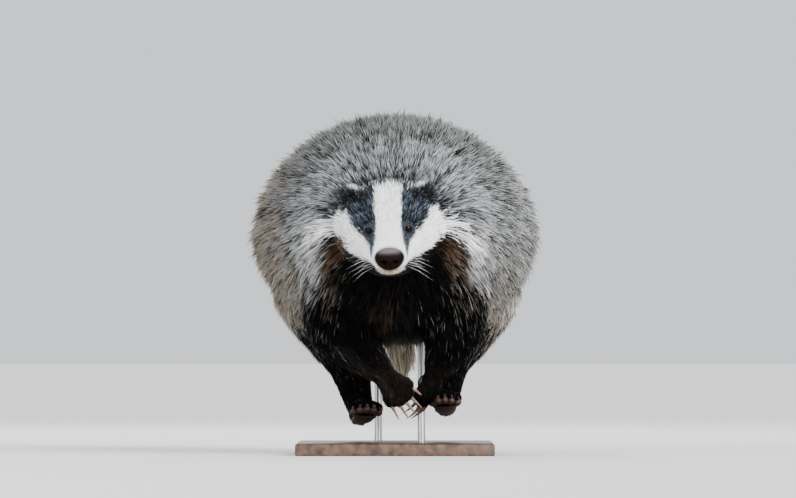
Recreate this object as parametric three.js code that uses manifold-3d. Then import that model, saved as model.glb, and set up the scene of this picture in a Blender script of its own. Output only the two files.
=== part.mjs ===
// A life-size European badger in mid-bound, all four feet off the ground, on a plain display stand.
// Millimetres, +Z up. The animal faces -Y and its left side is +X. The origin is the middle of the
// underside of the stand's base.
import * as THREE from "three";
import { mergeVertices } from "three/addons/utils/BufferGeometryUtils.js";
import Module from "manifold-3d";

const wasm = await Module();
wasm.setup();

// Driving dimensions
const GAP = 0.35;
const BASE_SIZE = { x: 230, y: 380, z: 14 };
const BASE_CORNER = 30;
const ROD_RADIUS = 4.5;
const ROD_SOCKET = 22;
const RODS = { front: { x: 31, y: 22 }, rear: { x: -20, y: 150 } };

const NOSE_TIP = { x: -6.2, y: -338, z: 224 };
const HEAD_PITCH = THREE.MathUtils.degToRad(15);
const HEAD_ROLL = THREE.MathUtils.degToRad(2.8);
const EYE = { x: 21, along: 66, up: 19, radius: 6.2 };
const LID = { over: 0.2, thickness: 1.7, out: 1.2, ahead: 1.6, up: 1.2, facing: [0.62, -0.62, 0.48] };
const EAR = { x: 40, along: 128, up: 37, halfWidth: 12.5, halfHeight: 16, halfDepth: 7.5 };
const EAR_TURN = { x: -0.25, y: 0.42, z: 0.45 };
const EAR_CUP = { wall: 3.5, out: 2, ahead: 7, up: 1 };
const NOSE = { along: 10, up: -1.5, halfWidth: 16.6, halfHeight: 13, halfDepth: 12 };
const NOSTRIL = { x: 6.4, along: -1.5, up: -3, halfWidth: 3.1, halfHeight: 2.6, depth: 5 };
const NOSTRIL_TURN = { y: 0.5, z: -0.3 };

// The coat: how far the tips stand over the core, and the size, spacing and lie of its locks. Fall is
// how far a lock turns down from the line of the body, in radians, and flare how far its tip stands
// off. Where a limb is thinner than its girth, the locks on it are smaller.
const COATS = {
  trunk: { depth: 16, sink: 8, width: 67, length: 140, thick: 7, row: 79, spacing: 78, girth: 85, fall: 0.4 },
  foreleg: { depth: 9, sink: 6, width: 42, length: 68, thick: 5, row: 42, spacing: 50, girth: 38 },
  thigh: { depth: 12, sink: 7, width: 54, length: 92, thick: 6, row: 56, spacing: 64, girth: 52 },
  tail: { depth: 11, sink: 6, width: 40, length: 76, thick: 5, row: 50, spacing: 46, girth: 26 },
  cheek: { depth: 0, sink: 7, width: 34, length: 60, thick: 5, row: 34, spacing: 36, girth: 50, fall: 0.25 },
};
const CHEEK_FLARE = 20;

// Where the locks are rooted, as shares of the way along each limb, and how far round the cheek.
const ROOTED = { trunk: [0.03, 0.88], leg: [0.2, 0.64], tail: [0.12, 0.78], cheek: [0.74, 0.9] };
const CHEEK_ARC = { below: 0.95, above: 0.45 };
const ALL_ROUND = [-0.5 * Math.PI, 1.5 * Math.PI];
const IN_TRUNK = 0.93;
const IN_LIMB = 0.9;
const SMALLEST_LOCK = 0.55;
const VARIATION = { length: 0.14, width: 0.12, lie: 0.16, flare: 3 };
const SEED = 20;

const CLAW_COUNT = 5;
const FORE_CLAW = { length: 24, radius: 3.1, bend: 11 };
const HIND_CLAW = { length: 14, radius: 2.6, bend: 4 };

// Materials
const finish = (color, roughness) => new THREE.MeshStandardMaterial({ color, roughness, metalness: 0 });
const GRIZZLED = finish(0x8f8b82, 0.9);
const BLACK_COAT = finish(0x16130f, 0.85);
const FACE = finish(0xe8e4dc, 0.85);
const PALE_TAIL = finish(0xb9b2a2, 0.9);
const NOSE_SKIN = finish(0x2a1a1b, 0.4);
const EYE_GLOSS = finish(0x080606, 0.08);
const HORN = finish(0x9a8a74, 0.45);
const STAND_WOOD = finish(0x3a2a1e, 0.5);
const STAND_STEEL = new THREE.MeshStandardMaterial({ color: 0x55575a, roughness: 0.35, metalness: 1 });

// A smooth curve through a list of equally spaced values, at t from 0 to 1.
function smooth(values, t) {
  const last = values.length - 1;
  const place = THREE.MathUtils.clamp(t, 0, 1) * last;
  const i = Math.min(Math.floor(place), last - 1);
  const f = place - i;
  const [a, b, c, d] = [values[Math.max(i - 1, 0)], values[i], values[i + 1], values[Math.min(i + 2, last)]];
  return b + 0.5 * f * (c - a + f * (2 * a - 5 * b + 4 * c - d + f * (3 * (b - c) + d - a)));
}

// The least that a skin's radius may shrink to, and the most of it that the coat may take up.
const THINNEST = 0.3;
const DEEPEST_COAT = 0.3;

const signedPower = (v, p) => Math.sign(v) * Math.abs(v) ** p;

// A limb, a trunk or a head as a skin stretched over stations [x, y, z, half width, half height above
// the centre line, half height below it].
class Skin {
  constructor(stations, { sides = 16, rings = 14, power = 2.1, matrix = new THREE.Matrix4() } = {}) {
    Object.assign(this, { stations, sides, rings, power, matrix });
    this.columns = [0, 1, 2, 3, 4, 5].map((k) => stations.map((s) => s[k]));
  }

  centre(t) {
    return new THREE.Vector3(...[0, 1, 2].map((k) => smooth(this.columns[k], t)));
  }

  // The point at t along and at angle a round, where 0 is +X and a quarter turn is up, and raised by lift.
  at(t, a, lift = 0) {
    const inside = THREE.MathUtils.clamp(t, 0, 1);
    const step = 0.01;
    const [from, to] = [Math.max(inside - step, 0), Math.min(inside + step, 1)];
    const along = this.centre(to).sub(this.centre(from)).divideScalar(to - from);
    const forward = along.clone().normalize();
    const right = new THREE.Vector3(1, 0, 0).addScaledVector(forward, -forward.x).normalize();
    const up = right.clone().cross(forward);
    const [w, high, low] = [3, 4, 5].map((k) => {
      const radius = smooth(this.columns[k], inside);
      return Math.max(radius + lift, THINNEST * radius);
    });
    const x = w * signedPower(Math.cos(a), 2 / this.power);
    const z = (Math.sin(a) > 0 ? high : low) * signedPower(Math.sin(a), 2 / this.power);
    return this.centre(inside)
      .addScaledVector(along, t - inside)
      .addScaledVector(right, x)
      .addScaledVector(up, z)
      .applyMatrix4(this.matrix);
  }

  // How far the core lies under the outline where the coat has a given depth.
  coreDepth(t, depth) {
    return Math.min(depth, DEEPEST_COAT * smooth(this.columns[3], t));
  }

  geometry(grow = 0, depth = 0) {
    const points = [];
    const triangles = [];
    const [start, end] = [0, 1].map((t) => {
      const reach = this.centre(t).distanceTo(this.centre(Math.abs(t - 0.01))) / 0.01;
      return t + (2 * t - 1) * (grow / reach);
    });
    for (let i = 0; i <= this.rings; i++) {
      const t = i === 0 ? start : i === this.rings ? end : i / this.rings;
      const lift = grow - this.coreDepth(t, depth);
      for (let j = 0; j < this.sides; j++) points.push(this.at(t, (2 * Math.PI * j) / this.sides, lift));
    }
    for (const t of [start, end]) {
      const [one, other] = [0, Math.PI].map((a) => this.at(t, a));
      points.push(one.add(other).divideScalar(2));
    }
    const first = (this.rings + 1) * this.sides;
    for (let j = 0; j < this.sides; j++) {
      const k = (j + 1) % this.sides;
      for (let i = 0; i < this.rings; i++) {
        const [p, q] = [i * this.sides, (i + 1) * this.sides];
        triangles.push(p + j, q + j, p + k, p + k, q + j, q + k);
      }
      triangles.push(first, j, k);
      triangles.push(first + 1, this.rings * this.sides + k, this.rings * this.sides + j);
    }
    return geometryOf(points, triangles);
  }
}

function geometryOf(points, triangles) {
  const geometry = new THREE.BufferGeometry().setFromPoints(points);
  geometry.setIndex(triangles);
  return geometry;
}

function solid(geometry) {
  const bare = geometry.clone();
  for (const name of Object.keys(bare.attributes)) if (name !== "position") bare.deleteAttribute(name);
  const merged = mergeVertices(bare, 1e-4);
  return new wasm.Manifold(
    new wasm.Mesh({
      numProp: 3,
      vertProperties: merged.attributes.position.array,
      triVerts: Uint32Array.from(merged.index.array),
    }),
  );
}

const join = (solids) => solids.reduce((whole, next) => whole.add(next));

// The largest closed surface of a solid.
function largest(body) {
  return body.decompose().reduce((best, next) => (next.volume() > best.volume() ? next : best));
}

function box(low, high) {
  const size = high.map((v, k) => v - low[k]);
  const middle = high.map((v, k) => (v + low[k]) / 2);
  return solid(new THREE.BoxGeometry(...size).translate(...middle));
}

function ellipsoid(centre, radii, matrix, { turn = [0, 0, 0], grow = 0, across = 12, down = 7 } = {}) {
  const geometry = new THREE.SphereGeometry(1, across, down).scale(...radii.map((r) => r + grow));
  const place = new THREE.Matrix4()
    .makeRotationFromEuler(new THREE.Euler(...turn))
    .setPosition(...centre)
    .premultiply(matrix);
  return solid(geometry.applyMatrix4(place));
}

// The head's own frame starts at the nose tip, with +Y running back along the skull.
const HEAD_FRAME = new THREE.Matrix4()
  .makeTranslation(NOSE_TIP.x, NOSE_TIP.y, NOSE_TIP.z)
  .multiply(new THREE.Matrix4().makeRotationX(HEAD_PITCH))
  .multiply(new THREE.Matrix4().makeRotationY(-HEAD_ROLL));

// A repeatable stream of numbers from -1 to 1.
function seeded(seed) {
  let state = seed;
  return () => {
    state = (Math.imul(state, 1664525) + 1013904223) >>> 0;
    return state / 2 ** 31 - 1;
  };
}
const vary = seeded(SEED);

// A flat tapered lock, from its sunk root along the lie of the coat to its tip: for each station the
// share of its length, width, rise from root to tip, and thickness.
const LOCK_PROFILE = [
  [0, 0.6, 0, 0.8],
  [0.4, 1, 0.5, 1],
  [0.78, 0.6, 0.84, 0.6],
];

// A thin edge moves out this many times as far as its faces when a lock is grown.
const EDGE_REACH = 9;

// One step of a given length over a skin, turned by an angle from the line along it.
function walk(skin, { t, a }, length, turn) {
  const nudge = 0.01;
  const here = skin.at(t, a);
  const along = skin.at(t + nudge, a).distanceTo(here) / nudge;
  const round = skin.at(t, a + nudge).distanceTo(here) / nudge;
  return { t: t + (length * Math.cos(turn)) / along, a: a + (length * Math.sin(turn)) / round, along, round };
}

function lock({ skin, t, a, coat, length, width, lie, flare }, grow) {
  const points = [];
  const triangles = [];
  const low = -skin.coreDepth(t, coat.depth) - coat.sink;
  let place = walk(skin, { t, a }, 0, 0);
  let reached = 0;
  for (const [share, wide, rise, thick] of LOCK_PROFILE) {
    place = walk(skin, place, (share - reached) * length, lie);
    reached = share;
    const lift = THREE.MathUtils.lerp(low, flare, rise);
    const half = ((width / 2) * wide + EDGE_REACH * grow) / place.round;
    points.push(skin.at(place.t, place.a - half, lift - grow));
    points.push(skin.at(place.t, place.a + half, lift - grow));
    points.push(skin.at(place.t, place.a, lift + coat.thick * thick + grow));
  }
  const tip = walk(skin, place, (1 - reached) * length + EDGE_REACH * grow, lie);
  points.push(skin.at(tip.t, tip.a, flare));
  const last = points.length - 1;
  const edges = [[1, 0], [2, 1], [0, 2]];
  triangles.push(2, 1, 0);
  for (let i = 0; i + 3 < last; i += 3)
    for (const [j, k] of edges) triangles.push(i + j, i + 3 + j, i + k, i + k, i + 3 + j, i + 3 + k);
  for (const [j, k] of edges) triangles.push(last - 3 + j, last, last - 3 + k);
  return solid(geometryOf(points, triangles));
}

// Rows of locks from one place along a skin to another, over an arc of it, each row set half a lock
// round from the last. Skip says where no lock grows.
function coatOf(skin, coat, [from, to], [start, end], skip = () => false) {
  const locks = [];
  let t = from;
  for (let row = 0; t <= to; row++) {
    const middle = (start + end) / 2;
    const radius = smooth(skin.columns[3], t);
    const scale = THREE.MathUtils.clamp(radius / coat.girth, SMALLEST_LOCK, 1);
    const count = Math.max(2, Math.round((radius * (end - start)) / (coat.spacing * scale)));
    for (let i = 0; i < count; i++) {
      const a = start + ((end - start) * (i + 0.25 + 0.5 * (row % 2))) / count;
      const lie = -(coat.fall ?? 0) * Math.cos(a) + VARIATION.lie * vary();
      const room = (1 - t) * walk(skin, { t, a }, 0, 0).along;
      const length = Math.min(coat.length * scale * (1 + VARIATION.length * vary()), room);
      const width = coat.width * scale * (1 + VARIATION.width * vary());
      const flare = (coat.flare ?? 0) + VARIATION.flare * vary();
      if (!skip(skin.at(t, a))) locks.push({ skin, t, a, coat, length, width, lie, flare });
    }
    t = walk(skin, { t, a: middle }, coat.row * scale, 0).t;
  }
  return locks;
}

// How far out in a skin a point lies: 0 on its centre line, 1 on its surface.
function depthIn(skin, point) {
  const samples = 24;
  const places = Array.from({ length: samples + 1 }, (_, i) => i / samples);
  const distance = (t) => skin.centre(t).distanceTo(point);
  const t = places.reduce((best, next) => (distance(next) < distance(best) ? next : best));
  const [right, up] = [0, Math.PI / 2].map((a) => skin.at(t, a).sub(skin.centre(t)));
  const offset = point.clone().sub(skin.centre(t));
  return Math.hypot(offset.dot(right) / right.lengthSq(), offset.dot(up) / up.lengthSq());
}

// A core with its locks fused on.
function furred(core, locks, grow) {
  return join([core, ...locks.map((one) => lock(one, grow))]);
}

// Trunk and neck, nape to rump
const TRUNK = new Skin(
  [
    [0, -216, 262, 68, 52, 58],
    [0, -174, 262, 92, 72, 80],
    [0, -130, 260, 109, 95, 106],
    [0, -82, 258, 121, 112, 122],
    [0, -28, 257, 137, 129, 130],
    [0, 40, 258, 157, 142, 131],
    [0, 108, 258, 170, 143, 128],
    [0, 168, 254, 168, 132, 120],
    [0, 222, 247, 146, 107, 106],
    [0, 264, 240, 112, 78, 80],
    [0, 294, 234, 68, 46, 50],
    [0, 310, 230, 20, 14, 16],
  ],
  { sides: 18, rings: 14 },
);
const TRUNK_NODES = { neck: [-260, -150], torso: [-150, 330] };

function trunkPart([front, back], grow) {
  const far = 400;
  const slab = box([-far, front + GAP / 2 - grow, 0], [far, back - GAP / 2 + grow, 2 * far]);
  const core = solid(TRUNK.geometry(grow, COATS.trunk.depth)).intersect(slab);
  const locks = trunkLocks.filter(({ skin, t, a }) => {
    const { y } = skin.at(t, a);
    return y >= front && y < back;
  });
  return furred(core, locks, grow);
}

// Head
const SKULL = new Skin(
  [
    [0, 7, -1, 16, 11, 14],
    [0, 14, -1, 21, 15, 17],
    [0, 32, 0, 24, 19, 20],
    [0, 50, 0, 28, 24, 24],
    [0, 68, 0, 36, 29, 28],
    [0, 86, 0, 47, 37, 34],
    [0, 106, 0, 56, 45, 41],
    [0, 128, 0, 60, 52, 47],
    [0, 150, 0, 62, 56, 52],
  ],
  { sides: 18, rings: 12, matrix: HEAD_FRAME },
);
const JAW = new Skin(
  [
    [0, 9, -14, 9, 3, 3.5],
    [0, 24, -17, 14, 5, 6],
    [0, 44, -22, 20, 8, 8],
    [0, 66, -27, 24, 9, 9.5],
    [0, 88, -32, 28, 10, 9],
    [0, 108, -36, 28, 10, 7],
  ],
  { sides: 12, rings: 6, matrix: HEAD_FRAME },
);
const SIDES = { left: 1, right: -1 };

function eyeball(side, grow) {
  const { x, along, up, radius } = EYE;
  return ellipsoid([side * x, along, up], [radius, radius, radius], HEAD_FRAME, { grow, across: 10 });
}

// A rim of lid round the eye, facing forwards, out and up.
function lid(side, grow) {
  const [ring, thickness] = [EYE.radius + LID.over, LID.thickness + grow];
  const [out, ahead, up] = LID.facing;
  const place = new THREE.Matrix4().lookAt(
    new THREE.Vector3(side * out, ahead, up),
    new THREE.Vector3(),
    new THREE.Vector3(0, 0, 1),
  );
  place.setPosition(side * (EYE.x + LID.out), EYE.along - LID.ahead, EYE.up + LID.up);
  place.premultiply(HEAD_FRAME);
  return solid(new THREE.TorusGeometry(ring, thickness, 4, 12).scale(1.1, 0.85, 1).applyMatrix4(place));
}

function nosePad(grow) {
  const radii = [NOSE.halfWidth, NOSE.halfDepth, NOSE.halfHeight];
  const pad = ellipsoid([0, NOSE.along, NOSE.up], radii, HEAD_FRAME, { grow, across: 14, down: 8 });
  if (grow) return pad;
  const hole = [NOSTRIL.halfWidth, NOSTRIL.depth, NOSTRIL.halfHeight];
  const nostrils = Object.values(SIDES).map((side) => {
    const turn = [0, side * NOSTRIL_TURN.y, side * NOSTRIL_TURN.z];
    const middle = [side * NOSTRIL.x, NOSTRIL.along, NOSTRIL.up];
    return ellipsoid(middle, hole, HEAD_FRAME, { turn, across: 8, down: 6 });
  });
  return pad.subtract(join(nostrils));
}

function ear(side, grow) {
  const radii = [EAR.halfWidth, EAR.halfDepth, EAR.halfHeight];
  const turn = [EAR_TURN.x, side * EAR_TURN.y, side * EAR_TURN.z];
  const outer = ellipsoid([side * EAR.x, EAR.along, EAR.up], radii, HEAD_FRAME, { turn, grow });
  if (grow) return outer;
  const cup = ellipsoid(
    [side * (EAR.x + EAR_CUP.out), EAR.along - EAR_CUP.ahead, EAR.up + EAR_CUP.up],
    radii.map((r) => r - EAR_CUP.wall),
    HEAD_FRAME,
    { turn, across: 8, down: 6 },
  );
  return outer.subtract(cup);
}

const cheekCoat = { ...COATS.cheek, flare: CHEEK_FLARE };
const cheekLocks = [
  ...coatOf(SKULL, cheekCoat, ROOTED.cheek, [-CHEEK_ARC.below, CHEEK_ARC.above]),
  ...coatOf(SKULL, cheekCoat, ROOTED.cheek, [Math.PI - CHEEK_ARC.above, Math.PI + CHEEK_ARC.below]),
];

function head(grow) {
  return furred(join([solid(SKULL.geometry(grow)), lid(1, grow), lid(-1, grow)]), cheekLocks, grow);
}

// Legs, each from its root inside the trunk to the wrist or the hock
const LEGS = {
  foreleg_right: [
    [-58, -98, 222, 40, 44, 40],
    [-66, -82, 184, 42, 42, 40],
    [-66, -62, 150, 38, 36, 36],
    [-42, -62, 122, 27, 26, 25],
    [-15, -70, 96, 16, 16, 16],
  ],
  foreleg_left: [
    [58, -98, 222, 40, 44, 40],
    [66, -82, 184, 42, 42, 40],
    [68, -60, 150, 37, 36, 36],
    [60, -48, 122, 26, 26, 25],
    [48, -42, 98, 16, 16, 16],
  ],
  hindleg_right: [
    [-76, 200, 240, 58, 56, 56],
    [-90, 150, 198, 56, 56, 52],
    [-80, 98, 154, 39, 40, 38],
    [-56, 94, 106, 25, 27, 26],
    [-42, 104, 54, 16, 18, 17],
  ],
  hindleg_left: [
    [76, 200, 240, 58, 56, 56],
    [94, 150, 198, 57, 56, 52],
    [88, 98, 156, 40, 40, 38],
    [66, 94, 110, 25, 27, 26],
    [60, 104, 64, 16, 18, 17],
  ],
};
const legSkin = Object.fromEntries(
  Object.entries(LEGS).map(([name, stations]) => [name, new Skin(stations, { sides: 12, rings: 7 })]),
);

const inTrunk = (point) => depthIn(TRUNK, point) < IN_TRUNK;
const LEG_LOCKS = Object.fromEntries(
  Object.entries(legSkin).map(([name, skin]) => {
    const coat = name.startsWith("fore") ? COATS.foreleg : COATS.thigh;
    return [name, coatOf(skin, coat, ROOTED.leg, ALL_ROUND, inTrunk)];
  }),
);

function leg(name, grow) {
  const { depth } = name.startsWith("fore") ? COATS.foreleg : COATS.thigh;
  return furred(solid(legSkin[name].geometry(grow, depth)), LEG_LOCKS[name], grow);
}

// Paws. A paw's own frame starts at the wrist or hock, with +Y running to the toes and +Z on its back.
function pawFrame(at, toes, back) {
  const y = new THREE.Vector3(...toes).normalize();
  const x = y.clone().cross(new THREE.Vector3(...back)).normalize();
  const z = x.clone().cross(y);
  return new THREE.Matrix4().makeBasis(x, y, z).setPosition(...at);
}
const PAWS = {
  forepaw_right: { frame: pawFrame([-15, -70, 96], [0.6, 0.28, -0.75], [0.1, -1, -0.2]), inner: -1 },
  forepaw_left: { frame: pawFrame([48, -42, 98], [-0.3, 0.34, -0.89], [0.85, -0.5, -0.25]), inner: 1 },
  hindpaw_right: { frame: pawFrame([-42, 98, 45], [0.1, -0.98, 0.14], [0, 0.14, 1]), inner: -1 },
  hindpaw_left: { frame: pawFrame([60, 98, 56], [-0.02, -0.98, 0.14], [0, 0.14, 1]), inner: 1 },
};
const FORE_PAW = { length: 38, halfWidth: 18.5, halfHeight: 12.5, toe: 7.2, toeLength: 12.5, tilt: -0.15 };
const HIND_PAW = { length: 84, halfWidth: 18, halfHeight: 13, toe: 7.2, toeLength: 12, tilt: 0.35 };
const TOE_ROW = { inset: 0.55, arc: 26, drop: 1, arch: 8, innerBack: 3, splay: 0.36 };
for (const [name, shape] of Object.entries(PAWS)) {
  shape.size = name.startsWith("fore") ? FORE_PAW : HIND_PAW;
  shape.claw = name.startsWith("fore") ? FORE_CLAW : HIND_CLAW;
}

// Where each of the five toes starts and which way it points, the inner toe first.
function toes({ inner, size }) {
  return Array.from({ length: CLAW_COUNT }, (_, i) => {
    const across = i / (CLAW_COUNT - 1) - 0.5;
    const y = size.length - TOE_ROW.arc * across * across - (i === 0 ? TOE_ROW.innerBack : 0);
    const x = -inner * across * 2 * (size.halfWidth - size.toe * TOE_ROW.inset);
    const z = -TOE_ROW.drop - TOE_ROW.arch * across * across;
    return { x, y, z, splay: -inner * across * TOE_ROW.splay };
  });
}

function paw(shape, grow) {
  const { frame, size } = shape;
  const { length, halfWidth: w, halfHeight: h } = size;
  const palm = new Skin(
    [
      [0, -6, 0, w * 0.7, h, h],
      [0, length * 0.35, 0, w * 0.86, h * 1.02, h],
      [0, length * 0.75, 0, w, h * 0.9, h],
      [0, length, -2, w * 0.8, h * 0.55, h * 0.7],
    ],
    { sides: 10, rings: 3, matrix: frame },
  );
  const radii = [size.toe, size.toeLength, size.toe];
  const digits = toes(shape).map(({ x, y, z, splay }) =>
    ellipsoid([x, y, z], radii, frame, { turn: [size.tilt, 0, -splay], grow, across: 6, down: 4 }),
  );
  return join([solid(palm.geometry(grow)), ...digits]);
}

// A claw curves down from the end of its toe.
const CLAW_TAPER = 0.85;

function claw(shape, index, grow) {
  const { frame, size } = shape;
  const { length, radius: root, bend } = shape.claw;
  const { x, y, z, splay } = toes(shape)[index];
  const stations = [0, 0.25, 0.5, 0.75, 1].map((s) => {
    const radius = root * (1 - CLAW_TAPER * s);
    return [0, length * s, -bend * s * s, radius * 0.8, radius, radius];
  });
  const place = new THREE.Matrix4()
    .makeRotationZ(-splay)
    .setPosition(x + Math.sin(splay) * size.toeLength * 0.5, y + size.toeLength * 0.6, z)
    .premultiply(frame);
  return solid(new Skin(stations, { sides: 5, rings: 3, matrix: place }).geometry(grow));
}

// Tail, hanging behind the thighs
const TAIL = new Skin(
  [
    [0, 272, 286, 20, 20, 20],
    [0, 312, 262, 26, 22, 24],
    [1, 338, 216, 29, 24, 26],
    [4, 346, 166, 27, 22, 24],
    [8, 342, 122, 17, 14, 15],
    [9, 338, 98, 4, 4, 4],
  ],
  { sides: 10, rings: 8 },
);

const tailLocks = coatOf(TAIL, COATS.tail, ROOTED.tail, ALL_ROUND);

// The trunk's locks leave room for the legs and the tail.
const limbs = [...Object.values(legSkin), TAIL];
const trunkLocks = coatOf(TRUNK, COATS.trunk, ROOTED.trunk, ALL_ROUND, (point) =>
  limbs.some((skin) => depthIn(skin, point) < IN_LIMB),
);

// Stand: a round-cornered base and two upright rods let into the belly
function standBase() {
  const [x, y] = [BASE_SIZE.x / 2, BASE_SIZE.y / 2];
  const r = BASE_CORNER;
  const outline = new THREE.Shape();
  outline.absarc(x - r, y - r, r, 0, Math.PI / 2);
  outline.absarc(r - x, y - r, r, Math.PI / 2, Math.PI);
  outline.absarc(r - x, r - y, r, Math.PI, 1.5 * Math.PI);
  outline.absarc(x - r, r - y, r, 1.5 * Math.PI, 2 * Math.PI);
  const bevel = { bevelEnabled: true, bevelThickness: 3, bevelSize: 3, bevelOffset: -3, bevelSegments: 1 };
  const depth = BASE_SIZE.z - 2 * bevel.bevelThickness;
  const plate = new THREE.ExtrudeGeometry(outline, { depth, curveSegments: 4, ...bevel });
  return solid(plate.translate(0, 0, bevel.bevelThickness));
}

// The height of the trunk's underside at a place along it.
function bellyHeight({ y }) {
  const samples = 100;
  const underside = Array.from({ length: samples + 1 }, (_, i) => TRUNK.at(i / samples, 1.5 * Math.PI));
  return underside.reduce((best, p) => (Math.abs(p.y - y) < Math.abs(best.y - y) ? p : best)).z;
}

function rod(place, grow) {
  const top = bellyHeight(place) + ROD_SOCKET + grow;
  const bottom = BASE_SIZE.z + GAP;
  const geometry = new THREE.CylinderGeometry(ROD_RADIUS + grow, ROD_RADIUS + grow, top - bottom, 20);
  return solid(geometry.rotateX(Math.PI / 2).translate(place.x, place.y, (top + bottom) / 2));
}

// Every node with its finish, in the order in which the earlier ones keep their shape and the later
// ones are cut clear of them.
const PIECES = [
  ["stand_base", STAND_WOOD, () => standBase()],
  ["stand_rod_front", STAND_STEEL, (grow) => rod(RODS.front, grow)],
  ["stand_rod_rear", STAND_STEEL, (grow) => rod(RODS.rear, grow)],
  ["nose", NOSE_SKIN, nosePad],
];
for (const [name, side] of Object.entries(SIDES)) {
  PIECES.push([`eye_${name}`, EYE_GLOSS, (grow) => eyeball(side, grow)]);
  PIECES.push([`ear_${name}`, BLACK_COAT, (grow) => ear(side, grow)]);
}
PIECES.push(["head", FACE, head], ["jaw", FACE, (grow) => solid(JAW.geometry(grow))]);
for (const name of Object.keys(legSkin))
  PIECES.push([name, BLACK_COAT, (grow) => leg(name, grow)]);
for (const [name, shape] of Object.entries(PAWS)) {
  PIECES.push([name, BLACK_COAT, (grow) => paw(shape, grow)]);
  for (let i = 0; i < CLAW_COUNT; i++)
    PIECES.push([`${name.replace("paw", "claw")}_${i + 1}`, HORN, (grow) => claw(shape, i, grow)]);
}
const tail = (grow) => furred(solid(TAIL.geometry(grow, COATS.tail.depth)), tailLocks, grow);
PIECES.push(["tail", PALE_TAIL, tail]);
for (const [name, range] of Object.entries(TRUNK_NODES))
  PIECES.push([name, GRIZZLED, (grow) => trunkPart(range, grow)]);

function meshOf(name, material, body) {
  const { vertProperties, numProp, numVert, triVerts } = body.getMesh();
  const positions = new Float32Array(numVert * 3);
  for (let i = 0; i < numVert; i++) {
    const first = i * numProp;
    positions.set(vertProperties.subarray(first, first + 3), i * 3);
  }
  const geometry = new THREE.BufferGeometry();
  geometry.setAttribute("position", new THREE.BufferAttribute(positions, 3));
  geometry.setIndex(new THREE.BufferAttribute(triVerts, 1));
  const mesh = new THREE.Mesh(geometry, material);
  mesh.name = name;
  return mesh;
}

function boxesMeet(one, other) {
  return [0, 1, 2].every((k) => one.min[k] < other.max[k] && one.max[k] > other.min[k]);
}

const badger = new THREE.Group();
const placed = [];
for (const [name, material, build] of PIECES) {
  const whole = build(0);
  const bounds = whole.boundingBox();
  let body = whole;
  for (const other of placed) if (boxesMeet(bounds, other.bounds)) body = body.subtract(other.grown);
  if (name !== PIECES.at(-1)[0]) {
    const grown = build(GAP).add(whole);
    placed.push({ grown, bounds: grown.boundingBox() });
  }
  badger.add(meshOf(name, material, largest(body)));
}

export default badger;
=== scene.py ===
# %% [markdown]
# # A European badger in mid-bound
#
# This lesson dresses a life-size badger that stands on a plain display stand. The carved solids are
# already there as a fixed frame. Round them we build one smooth skin, then a coat of many thousand
# fine tufts, and at last the bare things: eyes, nose, claws, pads and whiskers.

# %% Open the frame
import math

import bmesh
import bpy
import numpy as np
from mathutils import Matrix, Vector, kdtree


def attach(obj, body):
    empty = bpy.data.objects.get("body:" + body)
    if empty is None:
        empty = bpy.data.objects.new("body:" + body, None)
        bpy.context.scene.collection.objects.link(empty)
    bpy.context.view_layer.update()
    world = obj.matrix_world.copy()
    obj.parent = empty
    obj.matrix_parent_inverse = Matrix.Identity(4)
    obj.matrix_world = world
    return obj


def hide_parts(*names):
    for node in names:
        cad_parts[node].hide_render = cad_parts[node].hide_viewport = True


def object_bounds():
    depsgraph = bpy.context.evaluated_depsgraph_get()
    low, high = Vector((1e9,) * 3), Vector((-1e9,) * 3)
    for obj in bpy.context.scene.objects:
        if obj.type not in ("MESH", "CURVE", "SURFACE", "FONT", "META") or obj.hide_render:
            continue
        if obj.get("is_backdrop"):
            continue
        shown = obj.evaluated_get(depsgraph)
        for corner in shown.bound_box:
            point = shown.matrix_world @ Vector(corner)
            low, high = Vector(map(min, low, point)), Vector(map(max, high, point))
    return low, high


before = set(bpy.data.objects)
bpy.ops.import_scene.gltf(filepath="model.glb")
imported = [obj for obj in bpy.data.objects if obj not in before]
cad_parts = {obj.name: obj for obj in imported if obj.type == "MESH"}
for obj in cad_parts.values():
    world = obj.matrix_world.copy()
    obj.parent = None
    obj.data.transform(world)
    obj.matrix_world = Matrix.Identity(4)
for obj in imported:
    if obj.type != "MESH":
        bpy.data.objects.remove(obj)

solid_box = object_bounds()
print("nodes in the frame:", len(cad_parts))

# %% [markdown]
# ## Working habits
#
# Operators act on whatever is selected, so every step starts by selecting nothing. The animal's sizes
# are written in millimetres, because that is how a small animal is measured, and turned into metres.

# %% Selecting and applying
MM = 0.001
SIDES = {"left": 1, "right": -1}
random = np.random.default_rng(7)


def select_only(*pieces):
    bpy.ops.object.select_all(action="DESELECT")
    for piece in pieces:
        piece.select_set(True)
    bpy.context.view_layer.objects.active = pieces[0]


def new_piece(name):
    """The object that the last primitive made, under its own name."""
    piece = bpy.context.object
    piece.name = name
    piece.data.name = name
    return piece


def apply_place(piece):
    select_only(piece)
    bpy.ops.object.transform_apply(location=True, rotation=True, scale=True)


def modify(piece, kind, **settings):
    """Adds one modifier and applies it."""
    modifier = piece.modifiers.new(kind.title(), kind)
    for key, value in settings.items():
        setattr(modifier, key, value)
    select_only(piece)
    bpy.ops.object.modifier_apply(modifier=modifier.name)


def joined(pieces, name):
    select_only(*pieces)
    bpy.ops.object.join()
    return new_piece(name)


bpy.ops.object.select_all(action="DESELECT")
print("ready to model")

# %% [markdown]
# ## Camera
#
# The picture was taken from far away with a long lens, low over the ground, so near and far parts
# keep almost the same scale. The camera stands nine metres before the nose and looks slightly up.

# %% Place the camera
CAMERA_PLACE = (3.5 * MM, -9.338, 0.122)
CAMERA_PITCH = math.radians(0.727)
LENS = 360
SENSOR = 36
PICTURE_WIDTH = 796
NOSE_AWAY = 9000
FAR_ENOUGH = 200

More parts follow.
